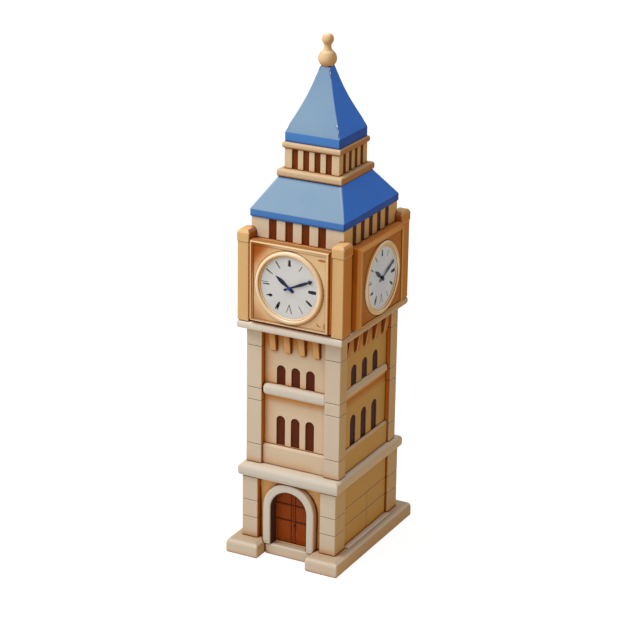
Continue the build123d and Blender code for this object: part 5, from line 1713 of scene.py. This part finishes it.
# ------------------------------------------------------------------------------------------------ studio
@dataclass(frozen=True)
class Studio:
    """Camera, floor and soft light.

    Args:
        azimuth: degrees the camera stands round to the right of the front.
        elevation: degrees above the horizon.
        roll: degrees the camera leans.
        distance: from the aim point.
        lens: millimetres on a 36 mm sensor.
        aim_up: height of the aim point.
        aim_right: how far the aim point lies to the right of the axis.
        whiteness: how far the floor is lifted towards white in view.
        floor_reach: half the floor's width.
        floor_level: height of the floor, just under the tower.
        lamp_height: height that the lamp faces.
    """

    azimuth: float = 27.43
    elevation: float = 20.37
    roll: float = 0.89
    distance: float = 95.73
    lens: float = 127.26
    aim_up: float = 9.942
    aim_right: float = -0.146
    whiteness: float = 0.72
    floor_reach: float = 160.0
    floor_level: float = -0.002
    lamp_height: float = 11.0

    def camera(self) -> None:
        """Stand the camera on a sphere round its aim point."""
        az, el, roll = (math.radians(angle) for angle in (self.azimuth, self.elevation, self.roll))
        forward = np.array([-math.sin(az) * math.cos(el), math.cos(az) * math.cos(el), -math.sin(el)])
        right = np.array([math.cos(az), math.sin(az), 0.0])
        up = np.cross(right, forward)
        aim = np.array([0, 0, self.aim_up]) + self.aim_right * right
        side = math.cos(roll) * right + math.sin(roll) * up
        top = -math.sin(roll) * right + math.cos(roll) * up
        data = bpy.data.cameras.new("camera")
        data.lens, data.sensor_width = self.lens, 36.0
        data.clip_start, data.clip_end = 1.0, 600.0
        camera = bpy.data.objects.new("camera", data)
        bpy.context.scene.collection.objects.link(camera)
        place = np.eye(4)
        place[:3, 0], place[:3, 1], place[:3, 2] = side, top, -forward
        place[:3, 3] = aim - self.distance * forward
        camera.matrix_world = Matrix(place.tolist())
        bpy.context.scene.camera = camera

    def lamp(self, name: str, way: Sequence[float], distance: float, size: float, power: float, colour: Colour) -> None:
        """Square soft box that faces the tower's middle from a direction."""
        direction = np.array(way, float) / np.linalg.norm(way)
        data = bpy.data.lights.new(name, "AREA")
        data.size, data.energy, data.color = size, power, colour
        lamp = bpy.data.objects.new(name, data)
        bpy.context.scene.collection.objects.link(lamp)
        lamp.location = Vector(direction * distance) + Vector((0, 0, self.lamp_height))
        lamp.rotation_euler = Vector(direction).to_track_quat("Z", "Y").to_euler()

    def floor(self) -> None:
        """Wide pale floor, lifted towards white where the camera or a glossy ray sees it."""
        side = np.linspace(-self.floor_reach, self.floor_reach, 9)
        x, y = np.meshgrid(side, side, indexing="ij")
        shell = grid_shell(np.stack([x, y, np.full_like(x, self.floor_level)], axis=2))
        mesh = bpy.data.meshes.new("studio_floor")
        mesh.from_pydata(shell.points.tolist(), [], [ring[::-1] for ring in shell.faces])
        graph = Graph("studio_floor")
        graph.surface((0.80, 0.80, 0.80), 0.9, 0.1)
        rays = [graph.node("ShaderNodeLightPath", {}, {}, kind)
                for kind in ("Is Camera Ray", "Is Glossy Ray", "Is Transmission Ray")]
        path = rays[0].larger(rays[1]).larger(rays[2])
        glow = graph.node("ShaderNodeEmission", {}, {"Color": (1.0, 1.0, 1.0), "Strength": 1.25})
        seen = graph.node("ShaderNodeMixShader", {}, {0: path * self.whiteness,
                                                      1: Value(graph, graph.shader.outputs[0]), 2: glow})
        output = next(node for node in graph.tree.nodes if node.type == "OUTPUT_MATERIAL")
        graph.tree.links.new(seen.socket, output.inputs["Surface"])
        mesh.materials.append(graph.material)
        floor = bpy.data.objects.new("studio_floor", mesh)
        bpy.context.scene.collection.objects.link(floor)

    def world(self) -> None:
        """White surroundings that light the tower evenly and show white to the camera."""
        world = bpy.data.worlds.new("studio")
        bpy.context.scene.world = world
        world.use_nodes = True
        tree = world.node_tree
        background = tree.nodes["Background"]
        path = tree.nodes.new("ShaderNodeLightPath")
        seen = path.outputs["Is Camera Ray"]
        for kind in ("Is Glossy Ray", "Is Transmission Ray"):
            either = tree.nodes.new("ShaderNodeMath")
            either.operation = "MAXIMUM"
            tree.links.new(seen, either.inputs[0])
            tree.links.new(path.outputs[kind], either.inputs[1])
            seen = either.outputs[0]
        choose = tree.nodes.new("ShaderNodeMapRange")
        tree.links.new(seen, choose.inputs[0])
        choose.inputs[3].default_value = 0.55
        choose.inputs[4].default_value = 1.0
        tree.links.new(choose.outputs[0], background.inputs["Strength"])
        background.inputs["Color"].default_value = (1, 1, 1, 1)

    def build(self) -> None:
        """Set up everything that isn't the tower."""
        scene = bpy.context.scene
        scene.view_settings.view_transform = "Standard"
        self.camera()
        self.floor()
        self.world()
        self.lamp("key", (-0.43, -0.41, 0.80), 45.0, 26.0, 16000.0, (1.0, 0.99, 0.97))


def main() -> None:
    """Dress the tower from the ground up, then set up the studio."""
    logging.basicConfig(level=logging.INFO, format="%(name)s %(message)s")
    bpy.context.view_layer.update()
    Plinth().build()
    FINISH.dress_node("ground_floor", "floor")
    Piers("ground_piers", *GROUND_PIER, (0.92, 1.71)).build()
    GroundWalls().build()
    Doorway().build()
    Course("string_course", *INSIDE, 0.235, 0.05).build()
    for node in ("first_floor", "second_floor", "clock_floor"):
        FINISH.dress_node(node, "floor")
    FINISH.dress_node("attic_floor", "clock")
    Piers("shaft_piers", *SHAFT_PIER, (0.86, 2.863, 3.42, 5.307)).build()
    Shaft().build()
    Course("clock_cornice", *INSIDE, 0.13, 0.05, "cornice").build()
    ClockStage().build()
    Colonnade("attic_posts", "belfry_posts", 0.35, (4, 0.76, 0.35), (5, 0.745, 0.37)).build()
    FINISH.dress_node("attic_louvres", "louvre")
    Colonnade("lantern_posts", "lantern_post_stones", 0.25, (4, 0.52, 0.27), (4, 0.52, 0.27), "baluster").build()
    FINISH.dress_node("lantern_louvres", "louvre")
    Roofs().build()
    Studio().build()


if __name__ == "__main__":
    main()
